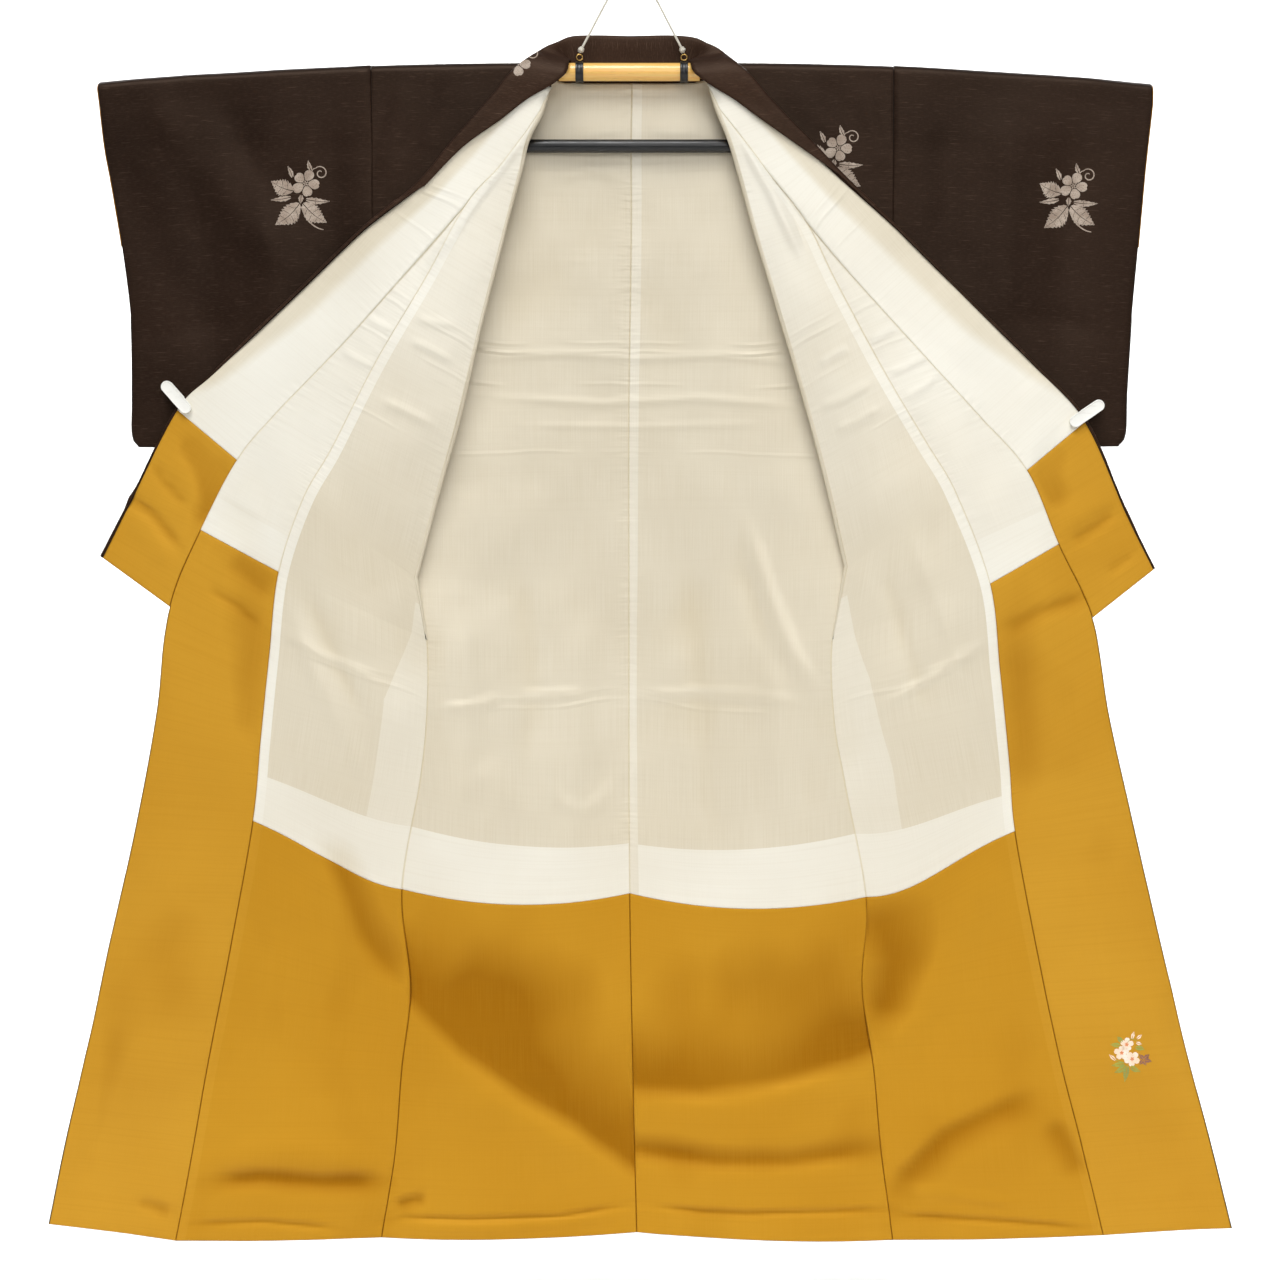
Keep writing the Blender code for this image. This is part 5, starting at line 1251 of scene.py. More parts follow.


# in both plans deep is the tone of the painted shade in fold troughs and on the collar lining's turned half, depth
# how much of it they take
ivorySatin = satinSilk("ivory_satin_silk", {
    "single": linear(222, 212, 189), "doubleAndSheen": linear(245, 242, 230), "shade": linear(198, 182, 150),
    "light": linear(248, 242, 228), "deep": linear(196, 174, 122), "seam": linear(214, 196, 150),
    "roughness": 0.36, "clouds": 0.22, "bars": 0.08, "threads": 0.14, "sheen": 0.05, "gloss": 0.9,
    "depth": 0.5, "seamShare": 0.6,
    "folds": ((0.352, 0.5), (0.363, 1.0), (0.406, 0.6), (0.420, 1.0), (0.497, 0.5), (0.798, 0.6), (0.808, 1.0)),
})
mustardSatin = satinSilk("mustard_satin_silk", {
    "single": linear(196, 142, 38), "doubleAndSheen": linear(204, 151, 48), "shade": linear(174, 116, 17),
    "light": linear(213, 161, 60), "deep": linear(140, 84, 0), "seam": linear(150, 96, 6),
    "roughness": 0.44, "clouds": 0.26, "bars": 0.12, "threads": 0.08, "sheen": 0.0, "gloss": 0.42,
    "depth": 0.8, "seamShare": 0.8, "folds": (),
})


# dark outer silk: matt, with short slubs of lighter thread along the weft and the warp. lift lightens every tone;
# above 1 it makes a copy with painted sheen
def slubSilk(name, lift):
    made, tree, shader = newMaterial(name, Roughness=0.5)
    weave, place, beside = weaveSpot(tree), objectSpot(tree), attribute(tree, "beside")
    weft = streaks(tree, weave, (160.0, 1500.0, 1.0), 1.0)
    warp = streaks(tree, weave, (1500.0, 160.0, 1.0), 1.0)
    slubs = streaks(tree, weave, (46.0, 700.0, 1.0), 1.0)
    bands = streaks(tree, weave, (1.5, 40.0, 1.0), 1.0)
    clouds = streaks(tree, place, (6.0, 6.0, 6.0), 1.0)

    def thread(*tone):
        return linear(*(value * lift for value in tone))

    tone = layered(
        tree, thread(26, 15, 9),
        (clouds, 0.3, 0.7, 1.0, thread(36, 23, 16)),
        (bands, 0.4, 0.7, 0.2, thread(46, 33, 26)),
        (weft, 0.50, 0.72, 0.4, thread(62, 47, 38)),
        (warp, 0.52, 0.74, 0.4, thread(14, 8, 6)),
        (slubs, 0.62, 0.78, 0.4, thread(82, 65, 54)))
    pucker = sums(tree, "MULTIPLY", streaks(tree, weave, (26.0, 130.0, 1.0), 1.0), beside)
    wrinkle = streaks(tree, place, (14.0, 14.0, 20.0))
    threads = sums(tree, "ADD", weft, warp)
    setShader(
        tree, shader, Base_Color=tone, Roughness=ramp(tree, weft, 0.3, 0.7, 0.42, 0.58),
        Sheen_Weight=0.015, Sheen_Roughness=0.5, Specular_IOR_Level=0.28, Specular_Tint=linear(228, 194, 168),
        Normal=bumped(tree, (1.0, 0.0009, pucker), (0.6, 0.0014, wrinkle), (0.6, 0.00016, threads)))
    return made


darkSilk = slubSilk("dark_slub_silk", 1.0)
# the collar's copy is 1.35 times lighter all over: painted sheen where the collar catches the light
sheenCollarSilk = slubSilk("dark_slub_silk_collar", 1.35)


def twistedCotton():
    made, tree, shader = newMaterial("twisted_cotton", Roughness=0.82)
    fibres = streaks(tree, weaveSpot(tree), (14.0, 2600.0, 1.0), 3.0)
    dust = streaks(tree, objectSpot(tree), (90.0, 90.0, 90.0))
    tone = layered(tree, linear(196, 189, 172), (fibres, 0.3, 0.7, 1.0, linear(240, 236, 224)),
                   (dust, 0.45, 0.75, 0.3, linear(176, 166, 146)))
    setShader(tree, shader, Base_Color=tone, Sheen_Weight=0.3, Normal=bumped(tree, (0.7, 0.0002, fibres)))
    return made


def lacqueredWood():
    made, tree, shader = newMaterial("pale_lacquered_wood", Roughness=0.28)
    place = objectSpot(tree)
    grain = streaks(tree, place, (9.0, 320.0, 320.0), 5.0, 0.6)
    pores = streaks(tree, place, (60.0, 1500.0, 1500.0))
    clouds = streaks(tree, place, (12.0, 30.0, 30.0))
    tone = layered(tree, linear(255, 212, 118), (grain, 0.35, 0.68, 1.0, linear(252, 188, 92)),
                   (clouds, 0.35, 0.7, 0.45, linear(248, 196, 116)), (pores, 0.62, 0.74, 0.5, linear(158, 98, 42)))
    setShader(tree, shader, Base_Color=tone, Coat_Weight=0.5, Coat_Roughness=0.12,
              Roughness=ramp(tree, grain, 0.3, 0.7, 0.24, 0.38), Normal=bumped(tree, (0.3, 0.0001, grain)))
    return made


def mouldedPlastic(name, base, scuffed, roughness):
    made, tree, shader = newMaterial(name, Roughness=roughness)
    place = objectSpot(tree)
    grain = streaks(tree, place, (1400.0, 1400.0, 1400.0))
    scuffs = streaks(tree, place, (40.0, 90.0, 260.0), 4.0, 0.65)
    setShader(tree, shader, Base_Color=layered(tree, base, (scuffs, 0.55, 0.78, 0.6, scuffed)),
              Roughness=ramp(tree, scuffs, 0.4, 0.75, roughness - 0.05, roughness + 0.18),
              Normal=bumped(tree, (0.25, 0.00008, grain)))
    return made


def wornBrass():
    made, tree, shader = newMaterial("worn_brass", Roughness=0.3, Metallic=1.0)
    tarnish = streaks(tree, objectSpot(tree), (420.0, 420.0, 420.0), 4.0, 0.6)
    tone = layered(tree, linear(214, 176, 104), (tarnish, 0.4, 0.7, 1.0, linear(122, 88, 44)))
    setShader(tree, shader, Base_Color=tone, Roughness=ramp(tree, tarnish, 0.35, 0.7, 0.22, 0.5),
              Normal=bumped(tree, (0.3, 0.00008, tarnish)))
    return made


cottonCord = twistedCotton()
paleWood = lacqueredWood()
blackPlastic = mouldedPlastic("black_moulded_plastic", linear(24, 24, 25), linear(62, 61, 60), 0.34)
whitePlastic = mouldedPlastic("white_moulded_plastic", linear(246, 245, 238), linear(222, 218, 208), 0.36)
brassMetal = wornBrass()


def clad(piece, material):
    piece.data.materials.clear()
    piece.data.materials.append(material)


silks = {"outer": darkSilk, "lining": ivorySatin, "hem": mustardSatin, "mouth": mustardSatin}
for node, piece in garment.items():
    clad(piece, sheenCollarSilk if node == "outer_collar" else silks[node.split("_")[0]])
clad(hangingCord, cottonCord)
print("stage: materials")


# Hanger: pole, arms, bands, eyes, knots, cross bar and clips, modelled over the part's solids
acrossX, acrossY = (0, math.pi / 2, 0), (math.pi / 2, 0, 0)  # turns that lay a cylinder along X or Y


def editAll():
    bpy.ops.object.mode_set(mode="EDIT")
    bpy.ops.mesh.select_all(action="SELECT")


def editDone():
    bpy.ops.object.mode_set(mode="OBJECT")


def clearSelection():
    if bpy.context.object and bpy.context.object.mode != "OBJECT":
        editDone()
    bpy.ops.object.select_all(action="DESELECT")


def applyPlace():
    bpy.ops.object.transform_apply(location=True, rotation=True, scale=True)
    return bpy.context.object


def addCylinder(sides, radius, depth, place, turn=(0, 0, 0), ends="NGON"):
    clearSelection()
    bpy.ops.mesh.primitive_cylinder_add(
        vertices=sides, radius=radius, depth=depth, end_fill_type=ends, location=place, rotation=turn)
    return applyPlace()


def selectFaces(piece, chosen):
    bpy.ops.object.mode_set(mode="EDIT")
    bpy.ops.mesh.select_mode(type="FACE")
    bpy.ops.mesh.select_all(action="DESELECT")
    editDone()
    for face in piece.data.polygons:
        face.select = bool(chosen(face))
    bpy.ops.object.mode_set(mode="EDIT")


def cutAt(place, normal):
    bpy.ops.mesh.select_all(action="SELECT")
    bpy.ops.mesh.bisect(plane_co=place, plane_no=normal)


def applyBevel(piece, width, segments=3, angle=30):
    bevel = piece.modifiers.new("round", "BEVEL")
    bevel.width, bevel.segments = width, segments
    bevel.limit_method, bevel.angle_limit = "ANGLE", math.radians(angle)
    bpy.ops.object.modifier_apply(modifier="round")


def settle(piece, name, angle=35):
    applyPlace()
    editAll()
    bpy.ops.mesh.normals_make_consistent(inside=False)
    editDone()
    bpy.ops.object.shade_smooth_by_angle(angle=math.radians(angle))
    piece.name = piece.data.name = name
    return piece


# the selected pieces become one with this piece
def joinTo(piece):
    piece.select_set(True)
    bpy.context.view_layer.objects.active = piece
    bpy.ops.object.join()


polePlan = {"start": -0.093, "end": 0.086, "radius": 0.0115, "height": -0.1397}
barPlan = {"start": -0.152, "end": 0.150, "radius": 0.0085, "height": -0.2337}
endPlan = {"ease": 0.0012, "inset": 0.28, "dish": 0.06}  # rounding in metres, then shares of the radius


# a tube along X with eased ends, which dish inwards a little
def tubeAlongX(name, start, end, radius, height):
    tube = addCylinder(48, radius, end - start, ((start + end) / 2, 0, height), acrossX)
    selectFaces(tube, lambda face: abs(face.normal.x) > 0.9)
    bpy.ops.mesh.inset(thickness=radius * endPlan["inset"], use_individual=True)
    bpy.ops.mesh.inset(thickness=radius * endPlan["dish"], depth=-endPlan["ease"], use_individual=True)
    editDone()
    applyBevel(tube, endPlan["ease"], 3, 40)
    return settle(tube, name)


hanger = {
    "hanger_pole": tubeAlongX("pole_centre", **polePlan),
    "cross_bar": tubeAlongX("bar_cross", **barPlan),
}
armPlan = {"radius": 0.0085, "stations": 26, "inside": 18.0, "gap": 0.3, "ease": 0.0014}  # inside, gap: mm


# thinner arm that bows down into the sleeve
def buildArm(side, half):
    start = polePlan["end" if side == "right" else "start"] / mm + half["sign"] * armPlan["gap"]
    stations = np.linspace(start, sleeveEndX(half) - half["sign"] * armPlan["inside"], armPlan["stations"])
    heights = -armDrop(half, stations)
    clearSelection()
    bpy.ops.mesh.primitive_circle_add(
        vertices=32, radius=armPlan["radius"], fill_type="NGON", location=(0, 0, 0), rotation=acrossX)
    arm = applyPlace()
    editAll()
    bpy.ops.transform.translate(value=(stations[0] * mm, 0, heights[0] * mm))
    for k in range(1, len(stations)):
        step = ((stations[k] - stations[k - 1]) * mm, 0, (heights[k] - heights[k - 1]) * mm)
        bpy.ops.mesh.extrude_region_move(TRANSFORM_OT_translate={"value": step})
    editDone()
    applyBevel(arm, armPlan["ease"], 3, 50)
    return settle(arm, "arm_" + side)


for side, half in halves.items():
    hanger["hanger_arm_" + side] = buildArm(side, half)

bandPlan = {
    "width": 0.010, "outer": 0.0135, "inner": 0.0118, "groove": 0.0005, "lip": 0.0026, "slope": 0.0005,
}


# black band around the pole, with a shallow groove and rolled lips
def buildBand(side, x):
    place = (x, 0, polePlan["height"])
    band = addCylinder(56, bandPlan["outer"], bandPlan["width"], place, acrossX, "NOTHING")
    editAll()
    bpy.ops.mesh.inset(thickness=bandPlan["lip"], depth=0.0)
    bpy.ops.mesh.inset(thickness=bandPlan["slope"], depth=-bandPlan["groove"])
    editDone()
    thick = band.modifiers.new("wall", "SOLIDIFY")
    thick.thickness = bandPlan["outer"] - bandPlan["inner"] - bandPlan["groove"] + 0.0002
    thick.offset = -1.0
    bpy.ops.object.modifier_apply(modifier="wall")
    applyBevel(band, 0.00035, 2, 40)
    return settle(band, "band_round_" + side, 50)


eyePlan = {
    "ring": 0.0038, "wire": 0.0009, "height": -0.1212, "foot": 0.0024, "flange": 0.0006, "stem": 0.0009,
}


# brass eye: a ring on a short flared foot
def buildEye(side, x):
    foot = (x, 0, eyePlan["height"] - eyePlan["ring"] - eyePlan["flange"])
    eye = addCylinder(24, eyePlan["foot"], eyePlan["flange"], foot)
    selectFaces(eye, lambda face: face.normal.z > 0.9)
    bpy.ops.mesh.inset(thickness=0.0010)
    bpy.ops.mesh.extrude_region_move(TRANSFORM_OT_translate={"value": (0, 0, eyePlan["stem"])})
    editDone()
    applyBevel(eye, 0.0002, 2, 40)
    clearSelection()
    bpy.ops.mesh.primitive_torus_add(
        major_radius=eyePlan["ring"], minor_radius=eyePlan["wire"], major_segments=48, minor_segments=14,
        location=(x, 0, eyePlan["height"]), rotation=acrossY)
    applyPlace()
    joinTo(eye)
    return settle(eye, "eye_ring_" + side, 50)


knotPlan = {
    "turns": 3.0, "swell": 0.0027, "start": 0.0018, "length": 0.0050, "core": 0.0017, "cord": 0.00145,
}


# knot: the cord wound three times around itself, tails tucked in
def buildKnot(side, foot, along):
    back = np.array((0, 1.0, 0))
    across, path = np.cross(along, back), []
    for k in range(150):
        share = k / 149
        angle = 2 * math.pi * knotPlan["turns"] * share
        swell = knotPlan["swell"] * (0.55 + 0.45 * math.sin(math.pi * min(1, 0.12 + share * 0.86)))
        rise = knotPlan["start"] + knotPlan["length"] * share + 0.0004 * math.sin(angle * 0.5)
        path.append(foot + along * rise + swell * (across * math.cos(angle) + back * math.sin(angle)))
    core = [foot + along * (0.0004 + 0.0078 * k / 20) for k in range(21)]
    return twistedMesh("knot_wound_" + side, [core, path], (knotPlan["core"], knotPlan["cord"]), 14)


for side, foot, along in (("left", leftFoot, leftAlong), ("right", rightFoot, rightAlong)):
    hanger["band_" + side] = buildBand(side, bandX[side])
    hanger["brass_eye_" + side] = buildEye(side, bandX[side])
    hanger["knot_" + side] = buildKnot(side, foot, along)

linkPlan = {"left": -145.0, "right": 143.0, "reach": 8.5, "gap": 0.3, "flare": 5.0, "waist": 0.8}  # in mm


# side link: a thin rod from the cross bar up to the arm, flared at both ends
def buildLink(side, half):
    x, flare = linkPlan[side], linkPlan["flare"]
    top = float(-armDrop(half, x)) - linkPlan["reach"] - linkPlan["gap"]
    bottom = barPlan["height"] / mm + linkPlan["reach"] + linkPlan["gap"]
    centre = (x * mm, 0, (top + bottom) / 2 * mm)
    link = addCylinder(28, 0.004, (top - bottom) * mm, centre)
    editAll()
    for height in (bottom + flare, top - flare):
        cutAt((0, 0, height * mm), (0, 0, 1))
    editDone()
    selectFaces(link, lambda face: (
        abs(face.normal.z) < 0.5 and bottom + flare < face.center.z / mm < top - flare))
    bpy.ops.transform.resize(value=(linkPlan["waist"], linkPlan["waist"], 1.0), center_override=centre)
    editDone()
    applyBevel(link, 0.0006, 2, 40)
    return settle(link, "link_" + side)


for side, half in halves.items():
    hanger["side_link_" + side] = buildLink(side, half)

clipPlan = {
    "length": 0.050, "width": 0.015, "jaw": 0.0035, "front": -0.0224, "back": -0.0152, "rim": 0.0014,
    "hollow": 0.0007, "pivot": 0.015, "boss": 0.003, "ribs": (-0.62, -0.50, -0.38, -0.26), "pad": 0.60,
    "rise": 0.0006,
}


# one jaw of a clip: a bar with round ends, a raised rim, a finger pad and grip ribs
def buildJaw(name, tail, nose, near, far):
    centre, along = (tail + nose) / 2, unit(nose - tail)
    length, width = clipPlan["length"], clipPlan["width"]
    face = -1 if near < clipPlan["front"] else 1
    jaw = addCylinder(32, width / 2, abs(far - near), (0, (near + far) / 2, 0), acrossY)
    reach = length / 2 - width / 2
    editAll()
    cutAt((0, 0, 0), (1, 0, 0))
    editDone()
    for vertex in jaw.data.vertices:
        vertex.co.x += reach * (1 if vertex.co.x > 1e-6 else -1 if vertex.co.x < -1e-6 else 0)
    selectFaces(jaw, lambda each: each.normal.y * face > 0.9)
    bpy.ops.mesh.inset(thickness=clipPlan["rim"])
    bpy.ops.mesh.inset(thickness=0.0005, depth=-clipPlan["hollow"])
    edges = [share * length / 2 for share in (*clipPlan["ribs"], clipPlan["pad"])]
    for edge in edges:
        cutAt((edge, 0, 0), (1, 0, 0))
    editDone()
    selectFaces(jaw, lambda each: each.normal.y * face > 0.9 and each.area > 4e-5 and (
        edges[0] < each.center.x < edges[1] or edges[2] < each.center.x < edges[3]))
    bpy.ops.mesh.inset(thickness=0.0004, depth=clipPlan["rise"], use_individual=True)
    editDone()
    applyBevel(jaw, 0.0005, 3, 45)
    jaw.rotation_euler = (0, -math.atan2(along[1], along[0]), 0)
    jaw.location = (centre[0], 0, centre[1])
    return settle(jaw, name)


# two jaws, and the pivot boss between them
def buildClip(side, half):
    tail, nose = (np.array((half["clip"][end][0], -half["clip"][end][1])) * mm for end in ("tail", "nose"))
    front, back, thick = clipPlan["front"], clipPlan["back"], clipPlan["jaw"]
    frontJaw = buildJaw("clip_jaw_front_" + side, tail, nose, front - thick, front)
    backJaw = buildJaw("clip_jaw_back_" + side, tail, nose, back, back + thick)
    pivot = (tail + nose) / 2 - unit(nose - tail) * clipPlan["pivot"]
    place = (pivot[0], (back + front + 0.0003) / 2, pivot[1])
    boss = addCylinder(24, clipPlan["boss"], back - front - 0.0003, place, acrossY)
    applyBevel(boss, 0.0003, 2, 40)
    joinTo(backJaw)
    return frontJaw, backJaw


for side, half in halves.items():
    hanger["clip_front_" + side], hanger["clip_back_" + side] = buildClip(side, half)
print("stage: hanger")

plastic = (blackPlastic, "black_plastic")
hangerFinish = {
    "hanger": (paleWood, "pale_wood"), "band": plastic, "cross": plastic, "side": plastic,
    "brass": (brassMetal, "brass"), "knot": (cottonCord, "cord"), "clip": (whitePlastic, "white_plastic"),
}
for node, piece in hanger.items():
    material, slot = hangerFinish[node.split("_")[0]]
    clad(piece, material)
    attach(piece, "root")
    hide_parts(node)


# Woven sprays on the outer silk and the painted spray on the mustard lining.
# Each is a list of small grids of points in mm, laid on the cloth
def leafHalf(base, tip, reach, teeth, bend, side):
    base, tip = np.array(base, dtype=float), np.array(tip, dtype=float)
    length = float(np.linalg.norm(tip - base))
    along = (tip - base) / length
    across = np.array((-along[1], along[0])) * side
    rows = []
    for k, share in enumerate(np.linspace(0, 1, teeth * 2 + 3)):
        middle = base + along * length * share + across * side * bend * math.sin(math.pi * share)
        swell = math.sin(math.pi * min(1.0, 0.04 + 0.96 * share) ** 0.72)
        edge = max(0.3, reach * swell * (0.80 if k % 2 else 1.06))
        gap = 0.55 * (1 - share * 0.7)
        lean = along * edge * (0.42 if k % 2 else 0.56) * (1 - share)
        rows.append([middle + across * (gap + edge * step) + lean * step for step in (0, 0.34, 0.67, 1)])
    rows = np.array(rows)
    if teeth < 4:
        return [rows]
    # side veins: narrow gaps that open away from the middle
    groups = []
    for first in range(0, len(rows) - 1, 4):
        group = rows[first : first + 5].copy()
        if first + 5 < len(rows):
            group[-1] -= along * 0.55 * np.array((0.2, 1, 1, 0.3))[:, None]
        groups.append(group)
    return groups


def leaf(base, tip, reach, teeth=6, bend=0.0):
    return leafHalf(base, tip, reach, teeth, bend, 1) + leafHalf(base, tip, reach, teeth, bend, -1)


def petal(centre, degrees, inner, outer, half):
    angle = math.radians(degrees)
    along = np.array((math.cos(angle), math.sin(angle)))
    across = np.array((-along[1], along[0]))
    rows = []
    for share in (0, 0.15, 0.3, 0.45, 0.6, 0.75, 0.88, 0.96, 1.0):
        width = half * (0.28 + 0.72 * math.sin(math.pi / 1.2 * share) if share < 0.6
                        else math.sqrt(max(0.0, 1 - ((share - 0.6) / 0.42) ** 2)))
        row = []
        for step in (-1, -0.5, 0, 0.5, 1):
            notch = 0.06 * abs(step) - 0.04
            ahead = inner + (outer - inner) * (share + notch * share ** 2)
            row.append(np.array(centre) + along * ahead + across * width * step)
        rows.append(row)
    return np.array(rows)


def flower(centre, turn, inner, outer, half):
    lengths = (1.0, 0.94, 1.05, 0.97, 1.02)
    return [petal(centre, turn + 72 * k, inner, outer * lengths[k], half) for k in range(5)]


def ribbon(line, width):
    line = spline(np.array(line, dtype=float)[None], [3] * (len(line) - 1))[0]
    rows = []
    for k, point in enumerate(line):
        ahead = unit(line[min(k + 1, len(line) - 1)] - line[max(k - 1, 0)])
        reach = width * (0.35 + 0.65 * math.sin(math.pi * (0.12 + 0.76 * k / (len(line) - 1))))
        rows.append([point + np.array((-ahead[1], ahead[0])) * reach * step for step in (-0.5, 0.5)])
    return np.array(rows)


def curl(centre, start, turns, fromAngle):
    line = []
    for k in range(17):
        reach, angle = start * (1 - 0.78 * k / 16), math.radians(fromAngle - 360 * turns * k / 16)
        line.append((centre[0] + reach * math.cos(angle), centre[1] + reach * math.sin(angle)))
    return line


bloomParts = (
    flower((6.5, 17.5), 66, 3.6, 17.0, 6.3)
    + leaf((14, 33), (10, 46), 2.6, 2, 0.8) + leaf((-10, 25), (-16, 39), 2.6, 2, -0.6)
    + [ribbon([(13, 31), (17, 36)] + curl((25.5, 30.5), 9.0, 1.25, 140), 1.5)]
    + [petal((6.5, 17.5), 30 + 72 * k, 0.5, 3.6, 0.85) for k in range(5)]
)
wovenParts = bloomParts + (
    leaf((-9, 8), (-37, 20), 10.5, 7, 2.0) + leaf((-12, 0), (-37, -4), 3.2, 3, 0.6)
    + leaf((-1, -8), (-31, -36), 12.0, 8, 2.5) + leaf((3, -8), (33, -32), 11.0, 8, -2.5)
    + leaf((7, -3), (37, -5), 3.8, 4, -1.2) + leaf((1, 3), (0, -8), 3.0, 2)
    + [ribbon([(1, -12), (5, -22), (12, -32), (22, -39), (29, -41)], 1.7)]
)
blooms = (((-5.2, 19), 84), ((-11.5, 8.5), 20), ((2.0, 0.5), 50))  # middle and turn
paintedParts = {
    "petal": (
        flower(*blooms[0], 1.2, 8.6, 3.3) + flower(*blooms[1], 1.2, 9.2, 3.6) + flower(*blooms[2], 1.2, 9.8, 3.8)
        + leaf((1.5, 26), (4, 35), 1.9, 1) + leaf((8, 26), (14, 31), 1.9, 1)
        + leaf((7, 21), (14, 19), 1.9, 1) + leaf((-19, -1), (-27, 6), 2.0, 1)
    ),
    "leaf": (
        leaf((-8, -5), (-24, -8), 3.0, 4) + leaf((-6, -8), (-20, -17), 3.6, 4, 1.0)
        + leaf((-4, -8), (-7, -29), 3.4, 4) + leaf((0, -9), (13, -16), 3.2, 4, -0.8)
        + leaf((-13, 18), (-26, 19), 2.6, 3) + leaf((-11, 22), (-17, 29), 2.6, 3)
        + leaf((6, 15), (18, 12), 2.8, 3, 0.6)
        + [ribbon([(-5, 20), (0, 26), (8, 24)], 0.7), ribbon([(-8, -4), (-19, -1)], 0.8)]
    ),
    "heart": [petal(centre, turn + 72 * k, 0.1, 2.6, 0.8) for centre, turn in blooms for k in range(5)],
    "wing": (
        leaf((17, 0), (11, 6), 2.2, 1) + leaf((17, 0), (24, 6), 2.6, 1) + leaf((18, -1), (27, -3), 2.4, 1)
        + leaf((16, -1), (12, -7), 2.0, 1) + leaf((17, -2), (20, -8), 1.8, 1)
    ),
}


# the side of a sheet that faces one way along Y
def facingTree(name, toward):
    piece, shown = sheetSurfaces[name]
    spots = [vertex.co for vertex in piece.data.vertices]

    def faces(a, b, c):
        return (b - a).cross(c - a).y * toward > 0

    return BVHTree.FromPolygons(spots, [face for face in shown if faces(*(spots[k] for k in face[:3]))])


# lays the grids on the cloth as thin closed scraps, dropping what falls beside it
def layOn(name, tree, toward, parts, place, turn, materials, lift=0.00016):
    angle = math.radians(turn)
    vertices, faces, spots, looks = [], [], [], []
    for kind, grids in enumerate(parts):
        for grid in grids:
            rows, cols = grid.shape[:2]
            slots = {}
            for r in range(rows):
                for c in range(cols):
                    across, up = grid[r, c] * mm * np.array((-toward, 1.0))
                    x = place[0] * mm + across * math.cos(angle) - up * math.sin(angle)
                    z = place[1] * mm + across * math.sin(angle) + up * math.cos(angle)
                    hit, normal, *_ = tree.ray_cast(Vector((x, toward * 1.0, z)), Vector((0, -toward, 0)))
                    if hit is None:
                        continue
                    slots[r, c] = len(vertices)
                    raised = lift * (1.0 + 0.25 * kind)
                    vertices.extend((hit + normal * raised, hit - normal * 0.0001))
                    spots.extend([(x, z)] * 2)
            quads = {}
            for r in range(rows - 1):
                for c in range(cols - 1):
                    corners = [slots.get(spot) for spot in ((r, c), (r + 1, c), (r + 1, c + 1), (r, c + 1))]
                    if None in corners:
                        continue
                    tops = [Vector(vertices[k]) for k in corners]
                    if max((a - b).length for a in tops for b in tops) > 0.02:
                        continue
                    turned = (tops[2] - tops[0]).cross(tops[3] - tops[1]).y * toward < 0
                    quads[r, c] = corners[::-1] if turned else corners
            for quad in quads.values():
                faces.append(quad)
                faces.append([k + 1 for k in quad[::-1]])
                looks.extend((kind, kind))
            for a, b in openBorder(list(quads.values())):
                faces.append([b, a, a + 1, b + 1])
                looks.append(kind)
    made = meshObject(name, vertices, faces)
    addWeave(made, spots)
    for material in materials:
        made.data.materials.append(material)
    made.data.polygons.foreach_set("material_index", looks)
    bpy.context.view_layer.objects.active = made
    bpy.ops.object.select_all(action="DESELECT")
    made.select_set(True)
    bpy.ops.object.mode_set(mode="EDIT")
    bpy.ops.mesh.select_all(action="SELECT")
    bpy.ops.mesh.delete_loose()
    bpy.ops.object.mode_set(mode="OBJECT")
    bpy.ops.object.shade_smooth_by_angle(angle=math.radians(40))
    return made


# thread: bars of pale weft with the dark ground between them
def wovenThread(name, pale, deep, ground):
    made, tree, shader = newMaterial(name, Roughness=0.55)
    weave = weaveSpot(tree)
    wefts = streaks(tree, weave, (90.0, 1300.0, 1.0), 1.0)
    hues = streaks(tree, weave, (60.0, 60.0, 1.0), 1.0)
    gaps = streaks(tree, weave, (1300.0, 500.0, 1.0), 0.0)
    tone = layered(tree, pale, (hues, 0.35, 0.65, 1.0, deep), (wefts, 0.40, 0.62, 0.55, deep),
                   (gaps, 0.60, 0.70, 0.55, ground))
    setShader(tree, shader, Base_Color=tone, Specular_IOR_Level=0.3, Normal=bumped(tree, (0.7, 0.00015, wefts)))
    return made


paleThread = wovenThread("pale_woven_thread", linear(196, 180, 164), linear(160, 142, 126), linear(74, 60, 52))
peachPaint = wovenThread("peach_silk_paint", linear(255, 246, 232), linear(250, 222, 194), linear(240, 200, 160))
greenPaint = wovenThread("green_silk_paint", linear(132, 150, 84), linear(174, 176, 76), linear(196, 160, 60))
coralPaint = wovenThread("coral_silk_paint", linear(226, 132, 84), linear(232, 152, 104), linear(222, 148, 90))
plumPaint = wovenThread("plum_silk_paint", linear(112, 74, 70), linear(150, 104, 92), linear(178, 124, 70))

